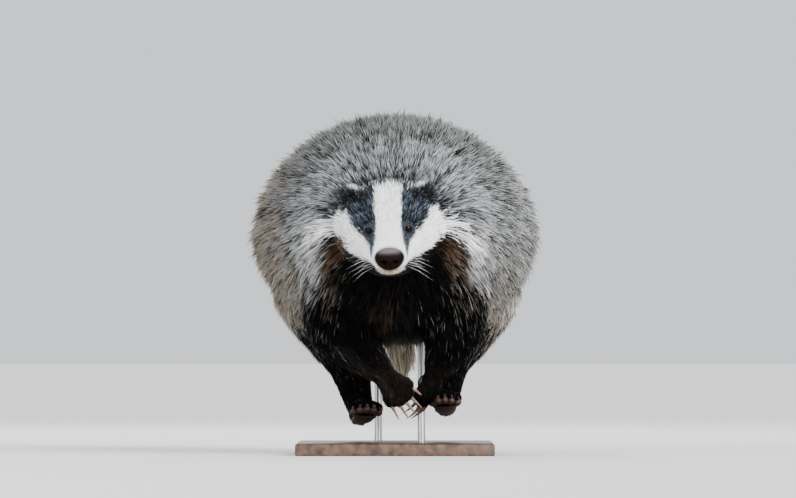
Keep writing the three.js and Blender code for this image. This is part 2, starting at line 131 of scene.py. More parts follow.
bpy.ops.object.camera_add(location=CAMERA_PLACE, rotation=(math.pi / 2 + CAMERA_PITCH, 0, 0))
camera = bpy.context.object
camera.data.lens = LENS
camera.data.sensor_width = SENSOR
camera.data.clip_end = FAR_ENOUGH
bpy.context.scene.camera = camera
print("one pixel is", round(NOSE_AWAY * SENSOR / LENS / PICTURE_WIDTH, 3), "mm wide at the nose")

# %% [markdown]
# ## Surfaces
#
# No surface is equally rough all over. Three helpers serve every material of the lesson. One lets the
# roughness wander by noise in the object's own space, one raises fine relief, and one sets a value.

# %% Helpers for materials
def rough_material(name, scale, low, high, detail=2, stretch=(1, 1, 1)):
    """A material whose roughness wanders between two values, and the noise that drives it."""
    material = bpy.data.materials.new(name)
    material.use_nodes = True
    nodes, links = material.node_tree.nodes, material.node_tree.links
    where = nodes.new("ShaderNodeTexCoord")
    mapping = nodes.new("ShaderNodeMapping")
    mapping.inputs["Scale"].default_value = stretch
    links.new(where.outputs["Object"], mapping.inputs["Vector"])
    grain = nodes.new("ShaderNodeTexNoise")
    grain.inputs["Scale"].default_value = scale
    grain.inputs["Detail"].default_value = detail
    links.new(mapping.outputs["Vector"], grain.inputs["Vector"])
    spread = nodes.new("ShaderNodeMapRange")
    spread.inputs["To Min"].default_value = low
    spread.inputs["To Max"].default_value = high
    links.new(grain.outputs["Fac"], spread.inputs["Value"])
    links.new(spread.outputs["Result"], nodes["Principled BSDF"].inputs["Roughness"])
    return material, grain


def raise_relief(material, height, strength, distance, invert=False):
    """Fine bumps, as high as the given output says."""
    nodes, links = material.node_tree.nodes, material.node_tree.links
    bump = nodes.new("ShaderNodeBump")
    bump.invert = invert
    bump.inputs["Strength"].default_value = strength
    bump.inputs["Distance"].default_value = distance
    links.new(height, bump.inputs["Height"])
    links.new(bump.outputs["Normal"], nodes["Principled BSDF"].inputs["Normal"])


def set_shader(material, socket, value):
    material.node_tree.nodes["Principled BSDF"].inputs[socket].default_value = value


print("ready to paint")

# %% [markdown]
# ## Floor and light
#
# A museum photograph uses a pale floor and soft light. The main light is a wide sun high in front on
# the animal's left, because a sun lights near and far floor alike. A broad lamp fills the shaded side,
# and another one from behind draws the edge of the coat.

# %% Lay the floor and hang the lamps
FLOOR_HALF = 60
AIR = {"colour": (0.78, 0.80, 0.83, 1), "strength": 1.3}

bpy.ops.mesh.primitive_plane_add(size=2 * FLOOR_HALF)
floor = new_piece("studio_floor")
apply_place(floor)
floor_finish, _ = rough_material("floor_paper", 6, 0.82, 0.9)
set_shader(floor_finish, "Base Color", (0.7, 0.7, 0.69, 1))
floor.data.materials.append(floor_finish)
floor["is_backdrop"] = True

world = bpy.data.worlds.new("studio_air")
bpy.context.scene.world = world
world.use_nodes = True
world.node_tree.nodes["Background"].inputs["Color"].default_value = AIR["colour"]
world.node_tree.nodes["Background"].inputs["Strength"].default_value = AIR["strength"]

LAMPS = {
    "key": {"kind": "SUN", "place": (2.9, -3.8, 2.1), "size": math.radians(30), "power": 7.4},
    "fill": {"kind": "AREA", "place": (-2.6, -2.8, 1.3), "size": 2.6, "power": 125},
    "edge": {"kind": "AREA", "place": (-0.4, 2.8, 2.2), "size": 2.0, "power": 60},
}
AIM = Vector((0, 0, 0.24))
for name, lamp in LAMPS.items():
    place = Vector(lamp["place"])
    bpy.ops.object.light_add(type=lamp["kind"], location=place)
    light = bpy.context.object
    light.name = f"{name}_lamp"
    setattr(light.data, "angle" if lamp["kind"] == "SUN" else "size", lamp["size"])
    light.data.energy = lamp["power"]
    light.visible_camera = False
    light.rotation_euler = (AIM - place).to_track_quat("-Z", "Y").to_euler()
print("lamps:", len(LAMPS))

# %% [markdown]
# ## The shape of the body
#
# Each limb is a row of stations: a point on its centre line, half its width, and its height above and
# below that line. They are the sizes of the solids, out to the tips of the coat. The last two numbers
# are the coat's depth, which the skin lies under, and the length of its hairs.

# %% Stations of every limb
NOSE_TIP = Vector((-6.2, -338, 224)) * MM
HEAD_PITCH = math.radians(15)
HEAD_ROLL = math.radians(2.8)
HEAD = Matrix.Translation(NOSE_TIP) @ Matrix.Rotation(HEAD_PITCH, 4, "X")
HEAD = HEAD @ Matrix.Rotation(-HEAD_ROLL, 4, "Y")

TRUNK = [
    (0, -216, 262, 68, 52, 58, 15, 34),
    (0, -174, 262, 92, 72, 80, 19, 42),
    (0, -130, 260, 109, 95, 106, 21, 48),
    (0, -82, 258, 121, 112, 122, 22, 50),
    (0, -28, 257, 137, 129, 130, 22, 52),
    (0, 40, 258, 157, 142, 131, 22, 54),
    (0, 108, 258, 170, 143, 128, 22, 56),
    (0, 168, 254, 168, 132, 120, 22, 56),
    (0, 222, 247, 146, 107, 106, 22, 54),
    (0, 264, 240, 112, 78, 80, 20, 50),
    (0, 294, 234, 68, 46, 50, 16, 46),
    (0, 310, 230, 20, 14, 16, 8, 40),
]
SKULL = [
    (0, 7, -1, 16, 11, 14, 1, 3),
    (0, 14, -1, 21, 15, 17, 1.5, 5),
    (0, 32, 0, 24, 19, 20, 2, 7),
    (0, 50, 0, 28, 24, 24, 2.2, 8),
    (0, 68, 0, 36, 29, 28, 2.6, 9),
    (0, 86, 0, 47, 37, 34, 3.2, 11),
    (0, 106, 0, 56, 45, 41, 4.5, 15),
    (0, 128, 0, 60, 52, 47, 6, 20),
    (0, 150, 0, 62, 56, 52, 10, 28),
]
JAW = [
    (0, 9, -14, 9, 3, 3.5, 0.6, 2),
    (0, 24, -17, 14, 5, 6, 0.8, 4),
    (0, 44, -22, 20, 8, 8, 1, 6),
    (0, 66, -27, 24, 9, 9.5, 1.5, 9),
    (0, 88, -32, 28, 10, 9, 2, 14),
    (0, 108, -36, 28, 10, 7, 3, 22),
]
LEGS = {
    "foreleg_right": [
        (-58, -98, 222, 40, 44, 40, 12, 34),
        (-66, -82, 184, 42, 42, 40, 10, 30),
        (-66, -62, 150, 38, 36, 36, 8, 24),
        (-42, -62, 122, 27, 26, 25, 5, 17),
        (-15, -70, 96, 16, 16, 16, 2, 9),
    ],
    "foreleg_left": [
        (58, -98, 222, 40, 44, 40, 12, 34),
        (66, -82, 184, 42, 42, 40, 10, 30),
        (68, -60, 150, 37, 36, 36, 8, 24),
        (60, -48, 122, 26, 26, 25, 5, 17),
        (48, -42, 98, 16, 16, 16, 2, 9),
    ],
    "hindleg_right": [
        (-76, 200, 240, 58, 56, 56, 16, 44),
        (-90, 150, 198, 56, 56, 52, 14, 38),
        (-80, 98, 154, 39, 40, 38, 10, 28),
        (-56, 94, 106, 25, 27, 26, 5, 16),
        (-42, 104, 54, 16, 18, 17, 2, 9),
    ],
    "hindleg_left": [
        (76, 200, 240, 58, 56, 56, 16, 44),
        (94, 150, 198, 57, 56, 52, 14, 38),
        (88, 98, 156, 40, 40, 38, 10, 28),
        (66, 94, 110, 25, 27, 26, 5, 16),
        (60, 104, 64, 16, 18, 17, 2, 9),
    ],
}
TAIL = [
    (0, 272, 286, 20, 20, 20, 8, 42),
    (0, 312, 262, 26, 22, 24, 11, 52),
    (1, 338, 216, 29, 24, 26, 14, 56),
    (4, 346, 166, 27, 22, 24, 14, 54),
    (8, 342, 122, 17, 14, 15, 10, 44),
    (9, 338, 98, 4, 4, 4, 2, 24),
]
print("stations on the trunk:", len(TRUNK))

# %% [markdown]
# ## Tubes
#
# A limb is then a smooth tube through its stations. The same small class gives points on the tube, to
# build the skin, and finds where on the tube any point of the finished skin lies, to comb the coat.

# %% A smooth tube through the stations
HALF, ABOVE, BELOW, DEPTH, HAIR = 3, 4, 5, 6, 7
STEPS_ALONG = 61


def smooth(rows, t):
    """A smooth curve through equally spaced rows, at each t from 0 to 1."""
    last = len(rows) - 1
    place = np.clip(t, 0, 1) * last
    i = np.minimum(place.astype(int), last - 1)
    f = (place - i)[:, None]
    a, b, c, d = rows[np.maximum(i - 1, 0)], rows[i], rows[i + 1], rows[np.minimum(i + 2, last)]
    return b + 0.5 * f * (c - a + f * (2 * a - 5 * b + 4 * c - d + f * (3 * (b - c) + d - a)))


def unit(vectors):
    return vectors / np.maximum(np.linalg.norm(vectors, axis=-1, keepdims=True), 1e-9)


class Limb:
    """A tube through stations, under a coat that is as deep as they say."""

    def __init__(self, name, stations, place=Matrix.Identity(4), sides=16, rings=12):
        self.name, self.sides, self.rings = name, sides, rings
        rows = np.array(stations, float) * MM
        turn = np.array(place)
        rows[:, :3] = rows[:, :3] @ turn[:3, :3].T + turn[:3, 3]
        self.rows = rows
        self.across = turn[:3, 0]

    def frame(self, t):
        """Centre, direction along, direction across and direction up at each t."""
        step = 0.01
        before = smooth(self.rows, np.maximum(t - step, 0))[:, :3]
        after = smooth(self.rows, np.minimum(t + step, 1))[:, :3]
        along = unit(after - before)
        across = unit(self.across - along * (along @ self.across)[:, None])
        return smooth(self.rows, t)[:, :3], along, across, np.cross(across, along)

    def ring(self, t, sides):
        """Points round the skin at one place along, which lies under the coat by its depth there."""
        places = np.full(sides, float(t))
        centre, _, across, up = self.frame(places)
        row = smooth(self.rows, places)
        angle = np.arange(sides) * 2 * math.pi / sides
        width = row[:, HALF] - row[:, DEPTH]
        height = np.where(np.sin(angle) > 0, row[:, ABOVE], row[:, BELOW]) - row[:, DEPTH]
        return centre + across * (width * np.cos(angle))[:, None] + up * (height * np.sin(angle))[:, None]

    def nearest(self, points):
        """Place along, angle round and distance outside the skin of each point."""
        steps = np.linspace(0, 1, STEPS_ALONG)
        line = smooth(self.rows, steps)[:, :3]
        far = (points**2).sum(1)[:, None] - 2 * points @ line.T + (line**2).sum(1)
        t = steps[far.argmin(1)]
        centre, along, across, up = self.frame(t)
        offset = points - centre
        row = smooth(self.rows, t)
        side, rise = (offset * across).sum(1), (offset * up).sum(1)
        width = row[:, HALF] - row[:, DEPTH]
        height = np.where(rise > 0, row[:, ABOVE], row[:, BELOW]) - row[:, DEPTH]
        reach = np.hypot(side / width, rise / height)
        size = np.hypot(side, rise) / np.maximum(reach, 1e-6)
        overshoot = np.abs((offset * along).sum(1))
        outside = (reach - 1) * size + overshoot
        return t, np.arctan2(rise / height, side / width), outside, along, row


limbs = {
    "trunk": Limb("trunk", TRUNK, sides=20, rings=24),
    "skull": Limb("skull", SKULL, HEAD, sides=20, rings=20),
    "jaw": Limb("jaw", JAW, HEAD, sides=14, rings=10),
    "tail": Limb("tail", TAIL, sides=12, rings=14),
}
for name, stations in LEGS.items():
    limbs[name] = Limb(name, stations, sides=14, rings=12)
print("limbs:", ", ".join(limbs))

# %% [markdown]
# ## Paws
#
# A badger digs with its feet: the palm is broad, five toes sit close together, and the fore claws are
# long. A paw has its own small frame, running from the wrist or heel to the toes, so that one
# description serves all four.

# %% Frames and toes of the paws
FORE = {"length": 38, "half_width": 18.5, "half_height": 12.5, "toe": 7.2, "toe_length": 12.5}
HIND = {"length": 84, "half_width": 18, "half_height": 13, "toe": 7.2, "toe_length": 12}
FORE_CLAW = {"length": 24, "radius": 3.1, "bend": 11}
HIND_CLAW = {"length": 14, "radius": 2.6, "bend": 4}
TOES = 5
SPLAY = 0.36
TOE_OVERLAP = 0.55
TOE_ARC = 26
TOE_DROP = 8
INNER_TOE_BACK = 3
FORE_TOE_TILT = -0.15
HIND_TOE_TILT = 0.35


def paw_frame(at, toes, back):
    along = Vector(toes).normalized()
    across = along.cross(Vector(back)).normalized()
    up = across.cross(along)
    turn = Matrix((across, along, up)).transposed().to_4x4()
    return Matrix.Translation(Vector(at) * MM) @ turn


PAWS = {
    "forepaw_right": {"frame": paw_frame((-15, -70, 96), (0.6, 0.28, -0.75), (0.1, -1, -0.2)), "inner": -1},
    "forepaw_left": {"frame": paw_frame((48, -42, 98), (-0.3, 0.34, -0.89), (0.85, -0.5, -0.25)), "inner": 1},
    "hindpaw_right": {"frame": paw_frame((-42, 98, 45), (0.1, -0.98, 0.14), (0, 0.14, 1)), "inner": -1},
    "hindpaw_left": {"frame": paw_frame((60, 98, 56), (-0.02, -0.98, 0.14), (0, 0.14, 1)), "inner": 1},
}
for name, paw in PAWS.items():
    paw["size"] = FORE if name.startswith("fore") else HIND
    paw["tilt"] = FORE_TOE_TILT if name.startswith("fore") else HIND_TOE_TILT


def toe_places(paw):
    """Middle and splay of each toe in the paw's frame, the inner toe first."""
    size, inner = paw["size"], paw["inner"]
    places = []
    for i in range(TOES):
        across = i / (TOES - 1) - 0.5
        x = -inner * across * 2 * (size["half_width"] - size["toe"] * TOE_OVERLAP)
        y = size["length"] - TOE_ARC * across**2 - (INNER_TOE_BACK if i == 0 else 0)
        places.append((Vector((x, y, -1 - TOE_DROP * across**2)) * MM, -inner * across * SPLAY))
    return places


for name, paw in PAWS.items():
    size = paw["size"]
    w, h, length = size["half_width"], size["half_height"], size["length"]
    palm = [
        (0, -6, 0, w * 0.7, h, h, 1.5, 9),
        (0, length * 0.35, 0, w * 0.86, h * 1.02, h, 1.5, 8),
        (0, length * 0.75, 0, w, h * 0.9, h, 1.5, 7),
        (0, length, -2, w * 0.8, h * 0.55, h * 0.7, 1.5, 6),
    ]
    limbs[name] = Limb(name, palm, paw["frame"], sides=14, rings=8)
print("paws:", ", ".join(PAWS))

# %% [markdown]
# ## One skin
#
# By hand, a limb is drawn as a circle that is extruded again and again, and each new ring is set to
# the size of the body there. Each toe is a stretched sphere.

# %% Extrude a limb ring by ring
def extruded_limb(limb):
    bpy.ops.mesh.primitive_circle_add(vertices=limb.sides, radius=1, fill_type="NGON")
    cage = new_piece(f"cage_{limb.name}")
    bpy.ops.object.mode_set(mode="EDIT")
    last = np.array([v.co for v in cage.data.vertices])
    for k in range(limb.rings + 1):
        if k:
            bpy.ops.mesh.extrude_region_move()
        ring = limb.ring(k / limb.rings, limb.sides)
        shape = bmesh.from_edit_mesh(cage.data)
        for vertex in [v for v in shape.verts if v.select]:
            j = np.linalg.norm(last - np.array(vertex.co), axis=1).argmin()
            vertex.co = ring[j]
        bmesh.update_edit_mesh(cage.data)
        last = ring
    bpy.ops.mesh.select_all(action="SELECT")
    bpy.ops.mesh.normals_make_consistent(inside=False)
    bpy.ops.object.mode_set(mode="OBJECT")
    return cage


def ball(name, centre, radii, place, turn=(0, 0, 0), segments=16, rings=10):
    """A sphere primitive, stretched, turned and set in its place."""
    bpy.ops.mesh.primitive_uv_sphere_add(segments=segments, ring_count=rings, radius=1)
    piece = new_piece(name)
    spin = Matrix.Rotation(turn[2], 4, "Z") @ Matrix.Rotation(turn[0], 4, "X")
    piece.matrix_world = place @ Matrix.Translation(centre) @ spin @ Matrix.Diagonal((*radii, 1))
    apply_place(piece)
    return piece


cages = [extruded_limb(limb) for limb in limbs.values()]
for name, paw in PAWS.items():
    size = paw["size"]
    for centre, splay in toe_places(paw):
        radii = Vector((size["toe"] - 1, size["toe_length"] - 1, size["toe"] - 1)) * MM
        cages.append(ball(f"toe_{name}", centre, radii, paw["frame"], (paw["tilt"], 0, -splay)))
print("cages to melt together:", len(cages))

# %% [markdown]
# The limbs and toes are joined, and a voxel remesh melts them into one closed skin with no seam at
# the neck, shoulders or hips. A little smoothing takes away the steps that the voxels leave.

# %% Melt the cages into one skin
SKIN_VOXEL = 3.3 * MM
skin = joined(cages, "skin")
modify(skin, "REMESH", mode="VOXEL", voxel_size=SKIN_VOXEL, use_smooth_shade=True)
modify(skin, "SMOOTH", factor=0.5, iterations=6)
print("skin faces:", len(skin.data.polygons))

# %% [markdown]
# The face is read from close by, so it needs far smaller faces than the back. Only there the mesh is
# subdivided, once on the whole front of the head and once more on the muzzle and round the eyes.

# %% Refine the face
FACE_ZONES = [(104, -60), (90, -34)]
FACE_HALF = 75


def head_places(points):
    """World points in the head's own frame, in millimetres: across, back from the nose tip, up."""
    back = np.array(HEAD.inverted())
    return (points @ back[:3, :3].T + back[:3, 3]) / MM


def mesh_points(piece):
    points = np.empty(len(piece.data.vertices) * 3)
    piece.data.vertices.foreach_get("co", points)
    return points.reshape(-1, 3)


def set_points(piece, points):
    piece.data.vertices.foreach_set("co", points.ravel())
    piece.data.update()


def mesh_normals(piece):
    return np.array([vertex.normal for vertex in piece.data.vertices])


for limit, low in FACE_ZONES:
    places = head_places(mesh_points(skin))
    chosen = (places[:, 1] < limit) & (places[:, 2] > low) & (np.abs(places[:, 0]) < FACE_HALF)
    select_only(skin)
    bpy.ops.object.mode_set(mode="EDIT")
    bpy.ops.mesh.select_mode(type="VERT")
    bpy.ops.mesh.select_all(action="DESELECT")
    bpy.ops.object.mode_set(mode="OBJECT")
    skin.data.vertices.foreach_set("select", chosen)
    bpy.ops.object.mode_set(mode="EDIT")
    bpy.ops.mesh.subdivide(number_cuts=1)
    bpy.ops.mesh.vertices_smooth(factor=0.5, repeat=2)
    bpy.ops.object.mode_set(mode="OBJECT")
print("skin vertices:", len(skin.data.vertices))

# %% [markdown]
# ## The face
#
# The remesh gave a blank face. The eye sockets, the lids and the line of the mouth are pressed into
# it now. A badger's eyes are small and sit between thick lids, so the skin recedes inside the opening
# and follows the eyeball round it. The mouth runs back from under the nose to below the eyes.

# %% Press in sockets, lids and mouth
EYE = {"x": 21, "along": 66, "up": 19, "radius": 6.2}
EYE_BACK = -9
ALMOND = {"wide": 1.12, "high": 0.9, "slant": 0.18}
SOCKET_FLOOR = -2.0
OPENING = 4.1
LID_EDGE = 5.7
LID_BLEND = 9.5
LID_THICKNESS = 0.8
MOUTH = [(6, -14.5), (20, -15.5), (40, -18), (62, -21), (70, -19)]
MOUTH_DEPTH = 1.8
MOUTH_HALF = 1.2
MOUTH_END = 66
MOUTH_FADE = 8
LIP_GROOVE = {"half": 0.8, "end": 16, "fade": 6, "top": -6, "foot": -15, "depth": 0.9}


def gaze(side):
    """Where an eye looks, in the head's frame: forward, outward and a little up."""
    return unit(np.array([side * 0.44, -1, 0.1]))


def round_the_eye(places, side):
    """Distance from the eye's axis, wide as an almond, and distance along that axis."""
    axis = gaze(side)
    offset = places - np.array([side * EYE["x"], EYE["along"], EYE["up"]])
    along = offset @ axis
    rest = offset - along[:, None] * axis
    slant = rest[:, 0] * side * ALMOND["slant"]
    beside = np.linalg.norm(rest[:, :2], axis=1) / ALMOND["wide"]
    return np.hypot(beside, (rest[:, 2] + slant) / ALMOND["high"]), along


def back_to_world(places):
    turn = np.array(HEAD)
    return (places * MM) @ turn[:3, :3].T + turn[:3, 3]


places = head_places(mesh_points(skin))
normals = mesh_normals(skin) @ np.array(HEAD)[:3, :3]
ball_radius = EYE["radius"] + LID_THICKNESS
for side in SIDES.values():
    reach, along = round_the_eye(places, side)
    lid = np.sqrt(np.maximum(ball_radius**2 - np.minimum(reach, LID_EDGE) ** 2, 0))
    target = np.where(reach < OPENING, SOCKET_FLOOR, lid)
    share = np.clip((LID_BLEND - reach) / (LID_BLEND - LID_EDGE), 0, 1)
    share = share * share * (3 - 2 * share)
    share = np.where((along > EYE_BACK) & (places[:, 0] * side > 0), share, 0)
    places += gaze(side) * ((target - along) * share)[:, None]
line, level = np.array(MOUTH).T
from_line = (places[:, 2] - np.interp(places[:, 1], line, level)) / MOUTH_HALF
inside = np.clip((MOUTH_END - places[:, 1]) / MOUTH_FADE, 0, 1)
places -= normals * (MOUTH_DEPTH * np.exp(-(from_line**2)) * inside)[:, None]
middle = np.exp(-((places[:, 0] / LIP_GROOVE["half"]) ** 2))
middle = middle * np.clip((LIP_GROOVE["end"] - places[:, 1]) / LIP_GROOVE["fade"], 0, 1)
middle = middle * (places[:, 2] < LIP_GROOVE["top"])
places[:, 1] += LIP_GROOVE["depth"] * middle * (places[:, 2] > LIP_GROOVE["foot"])
set_points(skin, back_to_world(places))
print("eye opening:", 2 * OPENING, "mm")

# %% [markdown]
# ## Markings
#
# One function paints both skin and coat: two black stripes run over a white head, the throat, chest,
# belly and legs are black, and the back wears hairs that are pale at the root, dark in the middle and
# pale at the tip. Each kind of coat is given as those three colours.

# %% Kinds of coat
WAVES = 2


def linear(red, green, blue):
    """A screen colour from 0 to 255 as the light value that a shader takes."""
    return tuple(((c / 255 + 0.055) / 1.055) ** 2.4 for c in (red, green, blue))


KINDS = {
    "white": [(192, 190, 187), (242, 242, 241), (253, 254, 255)],
    "chin": [(96, 78, 50), (136, 117, 82), (178, 160, 124)],
    "stripe": [(6, 6, 8), (13, 16, 20), (36, 43, 52)],
    "fleck": [(24, 27, 32), (80, 90, 102), (146, 158, 171)],
    "grey": [(76, 73, 69), (18, 18, 18), (134, 136, 135)],
    "nape": [(126, 129, 132), (60, 63, 66), (198, 203, 206)],
    "flank": [(124, 114, 99), (50, 45, 40), (170, 163, 153)],
    "tan": [(126, 108, 88), (62, 51, 41), (158, 142, 124)],
    "pale": [(186, 179, 167), (162, 155, 145), (230, 227, 220)],
    "black": [(5, 4, 4), (4, 3, 3), (10, 9, 8)],
    "frosted": [(11, 10, 9), (24, 22, 21), (138, 133, 126)],
    "rust": [(68, 50, 38), (58, 42, 32), (120, 99, 82)],
    "umber": [(16, 12, 9), (22, 16, 12), (52, 39, 30)],
    # The tail's colours are its own pale brown-grey, darkened as painted shade, because the tail hangs in
    # shade.
    "tail": [(116, 108, 94), (76, 64, 49), (150, 142, 126)],
    "ear": [(8, 8, 9), (14, 14, 15), (46, 44, 44)],
    "lid": [(50, 49, 50), (54, 53, 54), (82, 81, 83)],
}
COLOURS = {name: np.array([linear(*part) for part in parts]) for name, parts in KINDS.items()}


def step_up(value, edge, blend):
    """0 below the edge and 1 above it, with a soft change of the given width."""
    return 1 / (1 + np.exp(-np.clip((value - edge) * 4 / blend, -30, 30)))


def ripple(points, size, seed=0.0):
    """Smooth seeded unevenness between -1 and 1, with waves of about the given size."""
    x, y, z = (points / size * WAVES).T
    return (
        np.sin(x + 1.3 * y + seed) + np.sin(1.7 * y - 0.9 * z + 2.1 * seed) + np.sin(1.9 * z + 1.1 * x - seed)
    ) / 3


def over(kinds, name, weight):
    """Lays one kind of coat over those that are there already."""
    for other in kinds:
        kinds[other] = kinds[other] * (1 - weight)
    kinds[name] = kinds[name] + weight


def along_line(value, line):
    """The height at every value of a line that is given by its corners."""
    return np.interp(value, *np.array(line, float).T)


def blended(kinds):
    """Colours at the root, the middle and the tip, mixed by weight."""
    weights = np.stack(list(kinds.values()), 1)
    weights /= weights.sum(1, keepdims=True)
    return np.einsum("nk,kpc->npc", weights, np.stack([COLOURS[name] for name in kinds]))


def drawn(kinds):
    """One kind for each tuft, drawn by weight, so that borders are made of mingled hairs."""
    weights = np.cumsum(np.stack(list(kinds.values()), 1), 1)
    pick = (random.random((len(weights), 1)) * weights[:, -1:] > weights).sum(1)
    return np.stack([COLOURS[name] for name in kinds])[np.minimum(pick, len(kinds) - 1)]


print("kinds of coat:", ", ".join(KINDS))

# %% [markdown]
# The borders of the markings are lines through a few corners, in millimetres. The edges of belly and
# thigh and the two cheek lines are heights over the floor. The others are measured in the head's own
# frame: the stripe's inner side and foot, the foot of the white, and how far back the face reaches.
# Waves keep every border uneven.

# %% Where each kind grows
BELLY_EDGE = [
    (-230, 250), (-170, 232), (-130, 214), (-80, 190), (-30, 168), (40, 156), (250, 152), (300, 104),
]
THIGH_EDGE = [(60, 172), (95, 162), (112, 134), (140, 118)]
STRIPE_INNER = [(0, 18), (22, 17.5), (40, 14.5), (60, 14), (137, 15.5)]
STRIPE_FOOT = [(13, -6), (22, 0), (32, 4), (45, 7), (66, 11), (90, 18), (115, 25), (130, 27), (150, 30)]
WHITE_FOOT = [(14, -34), (22, -23), (32, -18), (45, -14), (78, -11), (100, -4.5), (135, 1)]
FACE_BACK = [(30, 147), (46, 148), (60, 158)]
FACE_MIDDLE = -4
CHEEK_TOP = [(40, 294), (52, 279), (63, 271), (73, 263), (82, 255), (90, 246)]
CHEEK_FOOT = [(56, 258), (64, 251), (72, 245), (82, 239), (92, 232)]
RUST = {"middle": -3, "x": 58, "half_x": 9, "z": 239, "half_z": 13}
BREAST = {"x": -8, "half_x": 12, "z": 176, "half_z": 24}
FLECKS = {"brow": 0.17, "crown": 0.13}
FROST = {"least": 0.005, "most": 0.42, "fade": 22}
LID_PAINT = 1.3


def body_markings(kinds, x, y, z, wave, broad, tailness):
    """Pale back, black belly and legs. Gives back the belly's edge and how far outside a point is."""
    off_tail = 1 - tailness
    kinds["grey"] += 1
    over(kinds, "flank", step_up(-z, -232 + 8 * broad, 60))
    over(kinds, "nape", 0.68 * step_up(-y, 70, 90) * step_up(-z, -350, 40))
    at_flank = step_up(np.abs(x), 118 + 12 * broad, 26)
    # Tan on the flanks: a little on both sides is the coat's own colour. The extra tan on the animal's right,
    # the shaded side, is painted shade.
    over(kinds, "tan", (0.5 - 0.34 * step_up(x, 0, 80)) * at_flank * step_up(y, -60, 60))
    # Painted light: paler nape hair on the animal's left flank, the side that the key light falls on.
    over(kinds, "nape", 0.4 * step_up(x, 112, 40) * step_up(z, 170, 40))
    # The tail kind carries painted shade as well as the tail's own colour.
    over(kinds, "tail", tailness)
    outer = step_up(np.abs(x), 76, 10) * step_up(-y, 130, 24)
    edge = along_line(y, BELLY_EDGE) - 34 * outer + 7 * broad
    over(kinds, "pale", 0.9 * outer * step_up(-z, -258, 20))
    over(kinds, "black", step_up(-(z - edge), 0, 14) * off_tail)
    thigh = along_line(np.abs(x), THIGH_EDGE) + 6 * broad
    over(kinds, "black", step_up(y, 60, 20) * step_up(-(z - thigh), 0, 18) * off_tail)
    return edge, outer


def oval(x, z, shape):
    """0 in the middle of an oval patch and 1 on its rim."""
    return ((x - shape["x"]) / shape["half_x"]) ** 2 + ((z - shape["z"]) / shape["half_z"]) ** 2


def markings(points, tailness):
    """How much of each kind of coat grows at every point."""
    kinds = {name: np.zeros(len(points)) for name in KINDS}
    x, y, z = (points / MM).T
    hx, hy, hz = head_places(points).T
    side = np.abs(hx)
    wave = ripple(points, 9 * MM)
    broad = ripple(points, 30 * MM, 1.7)
    edge, outer = body_markings(kinds, x, y, z, wave, broad, tailness)

    # The white face, with a black stripe through each eye
    inner = along_line(hy, STRIPE_INNER) + 0.6 * wave
    stripe_foot = along_line(hy, STRIPE_FOOT) + wave
    white_foot = along_line(hy, WHITE_FOOT) + 2 * wave
    face = step_up(-hy, -(along_line(side, FACE_BACK) + 4 * wave), 7)
    aside = np.abs(x - FACE_MIDDLE)
    cheek_top = along_line(aside, CHEEK_TOP) + 3 * wave
    cheek_foot = along_line(aside, CHEEK_FOOT) + 3 * wave
    beyond_cheek = step_up(z, cheek_top, 8) * step_up(side, 40, 4)
    over(kinds, "white", face * step_up(hz, white_foot - 4, 6) * (1 - beyond_cheek))
    over(kinds, "stripe", 0.7 * face * beyond_cheek * step_up(-side, -62, 8) * step_up(z, 266, 14))
    over(kinds, "stripe", face * step_up(side, inner, 2) * step_up(hz, stripe_foot, 2.4) * step_up(hy, 16, 3))
    over(kinds, "chin", 0.8 * step_up(-hz, 12, 4) * step_up(-hy, -34, 8))

    # Rust and umber where the black of the throat and breast begins
    at_side = step_up(np.abs(x), 60, 10) * (1 - outer)
    under_edge = step_up(-(z - edge), -4, 8) * (1 - tailness)
    over(kinds, "rust", 0.35 * under_edge * step_up(-y, 130, 24) * at_side)
    breast = np.exp(-oval(x, z, BREAST)) * step_up(-y, 60, 20)
    over(kinds, "umber", 0.7 * breast)
    over(kinds, "black", face * step_up(-(hz - white_foot), 3, 5) * step_up(hy, 19, 5))
    patch = oval(np.abs(x - RUST["middle"]), z, RUST)
    over(kinds, "rust", 0.8 * step_up(-patch, -1, 1.2) * step_up(-y, 150, 20))

    # White hair that flares out beside the rust, pale flecks in the stripes, and brown on the forepaws
    flare = step_up(aside, 58, 6) * step_up(-aside, -90, 8) * step_up(-y, 140, 20)
    over(kinds, "white", 0.85 * flare * step_up(z, cheek_foot, 6) * step_up(-z, -cheek_top, 8))
    kinds["fleck"] = (FLECKS["brow"] + FLECKS["crown"] * step_up(hy, 84, 20)) * kinds["stripe"]
    over(kinds, "umber", 0.4 * step_up(-z, -104, 16) * step_up(-y, 50, 12))

    # Bare lids round the eyes
    for way in SIDES.values():
        reach, along = round_the_eye(np.stack([hx, hy, hz], 1), way)
        painted = (along > EYE_BACK) * (hx * way > 0)
        over(kinds, "lid", 0.9 * step_up(-reach, -OPENING - LID_PAINT, 0.8) * painted)

    # Pale tips among the black hairs, most of them along the edge
    at_margin = np.exp(-np.maximum(edge - z, 0) / FROST["fade"]) * np.clip((np.abs(x) - 34) / 40, 0, 1)
    frost = (FROST["least"] + FROST["most"] * at_margin) * (hy > 120)
    kinds["frosted"] = kinds["black"] * frost
    kinds["black"] *= 1 - frost
    return kinds


belly_heights = [height for _, height in BELLY_EDGE]
print("the belly's edge lies", min(belly_heights), "to", max(belly_heights), "mm over the floor")

# %% [markdown]
# ## How the coat lies
#
# Every point of the skin learns which limbs it belongs to, and mixes their answers: which way the
# hair lies, how long it is, how deep the coat is, and how dense it grows. On the back the hair runs
# to the tail and falls to the sides. The cheeks carry a ruff that stands off.

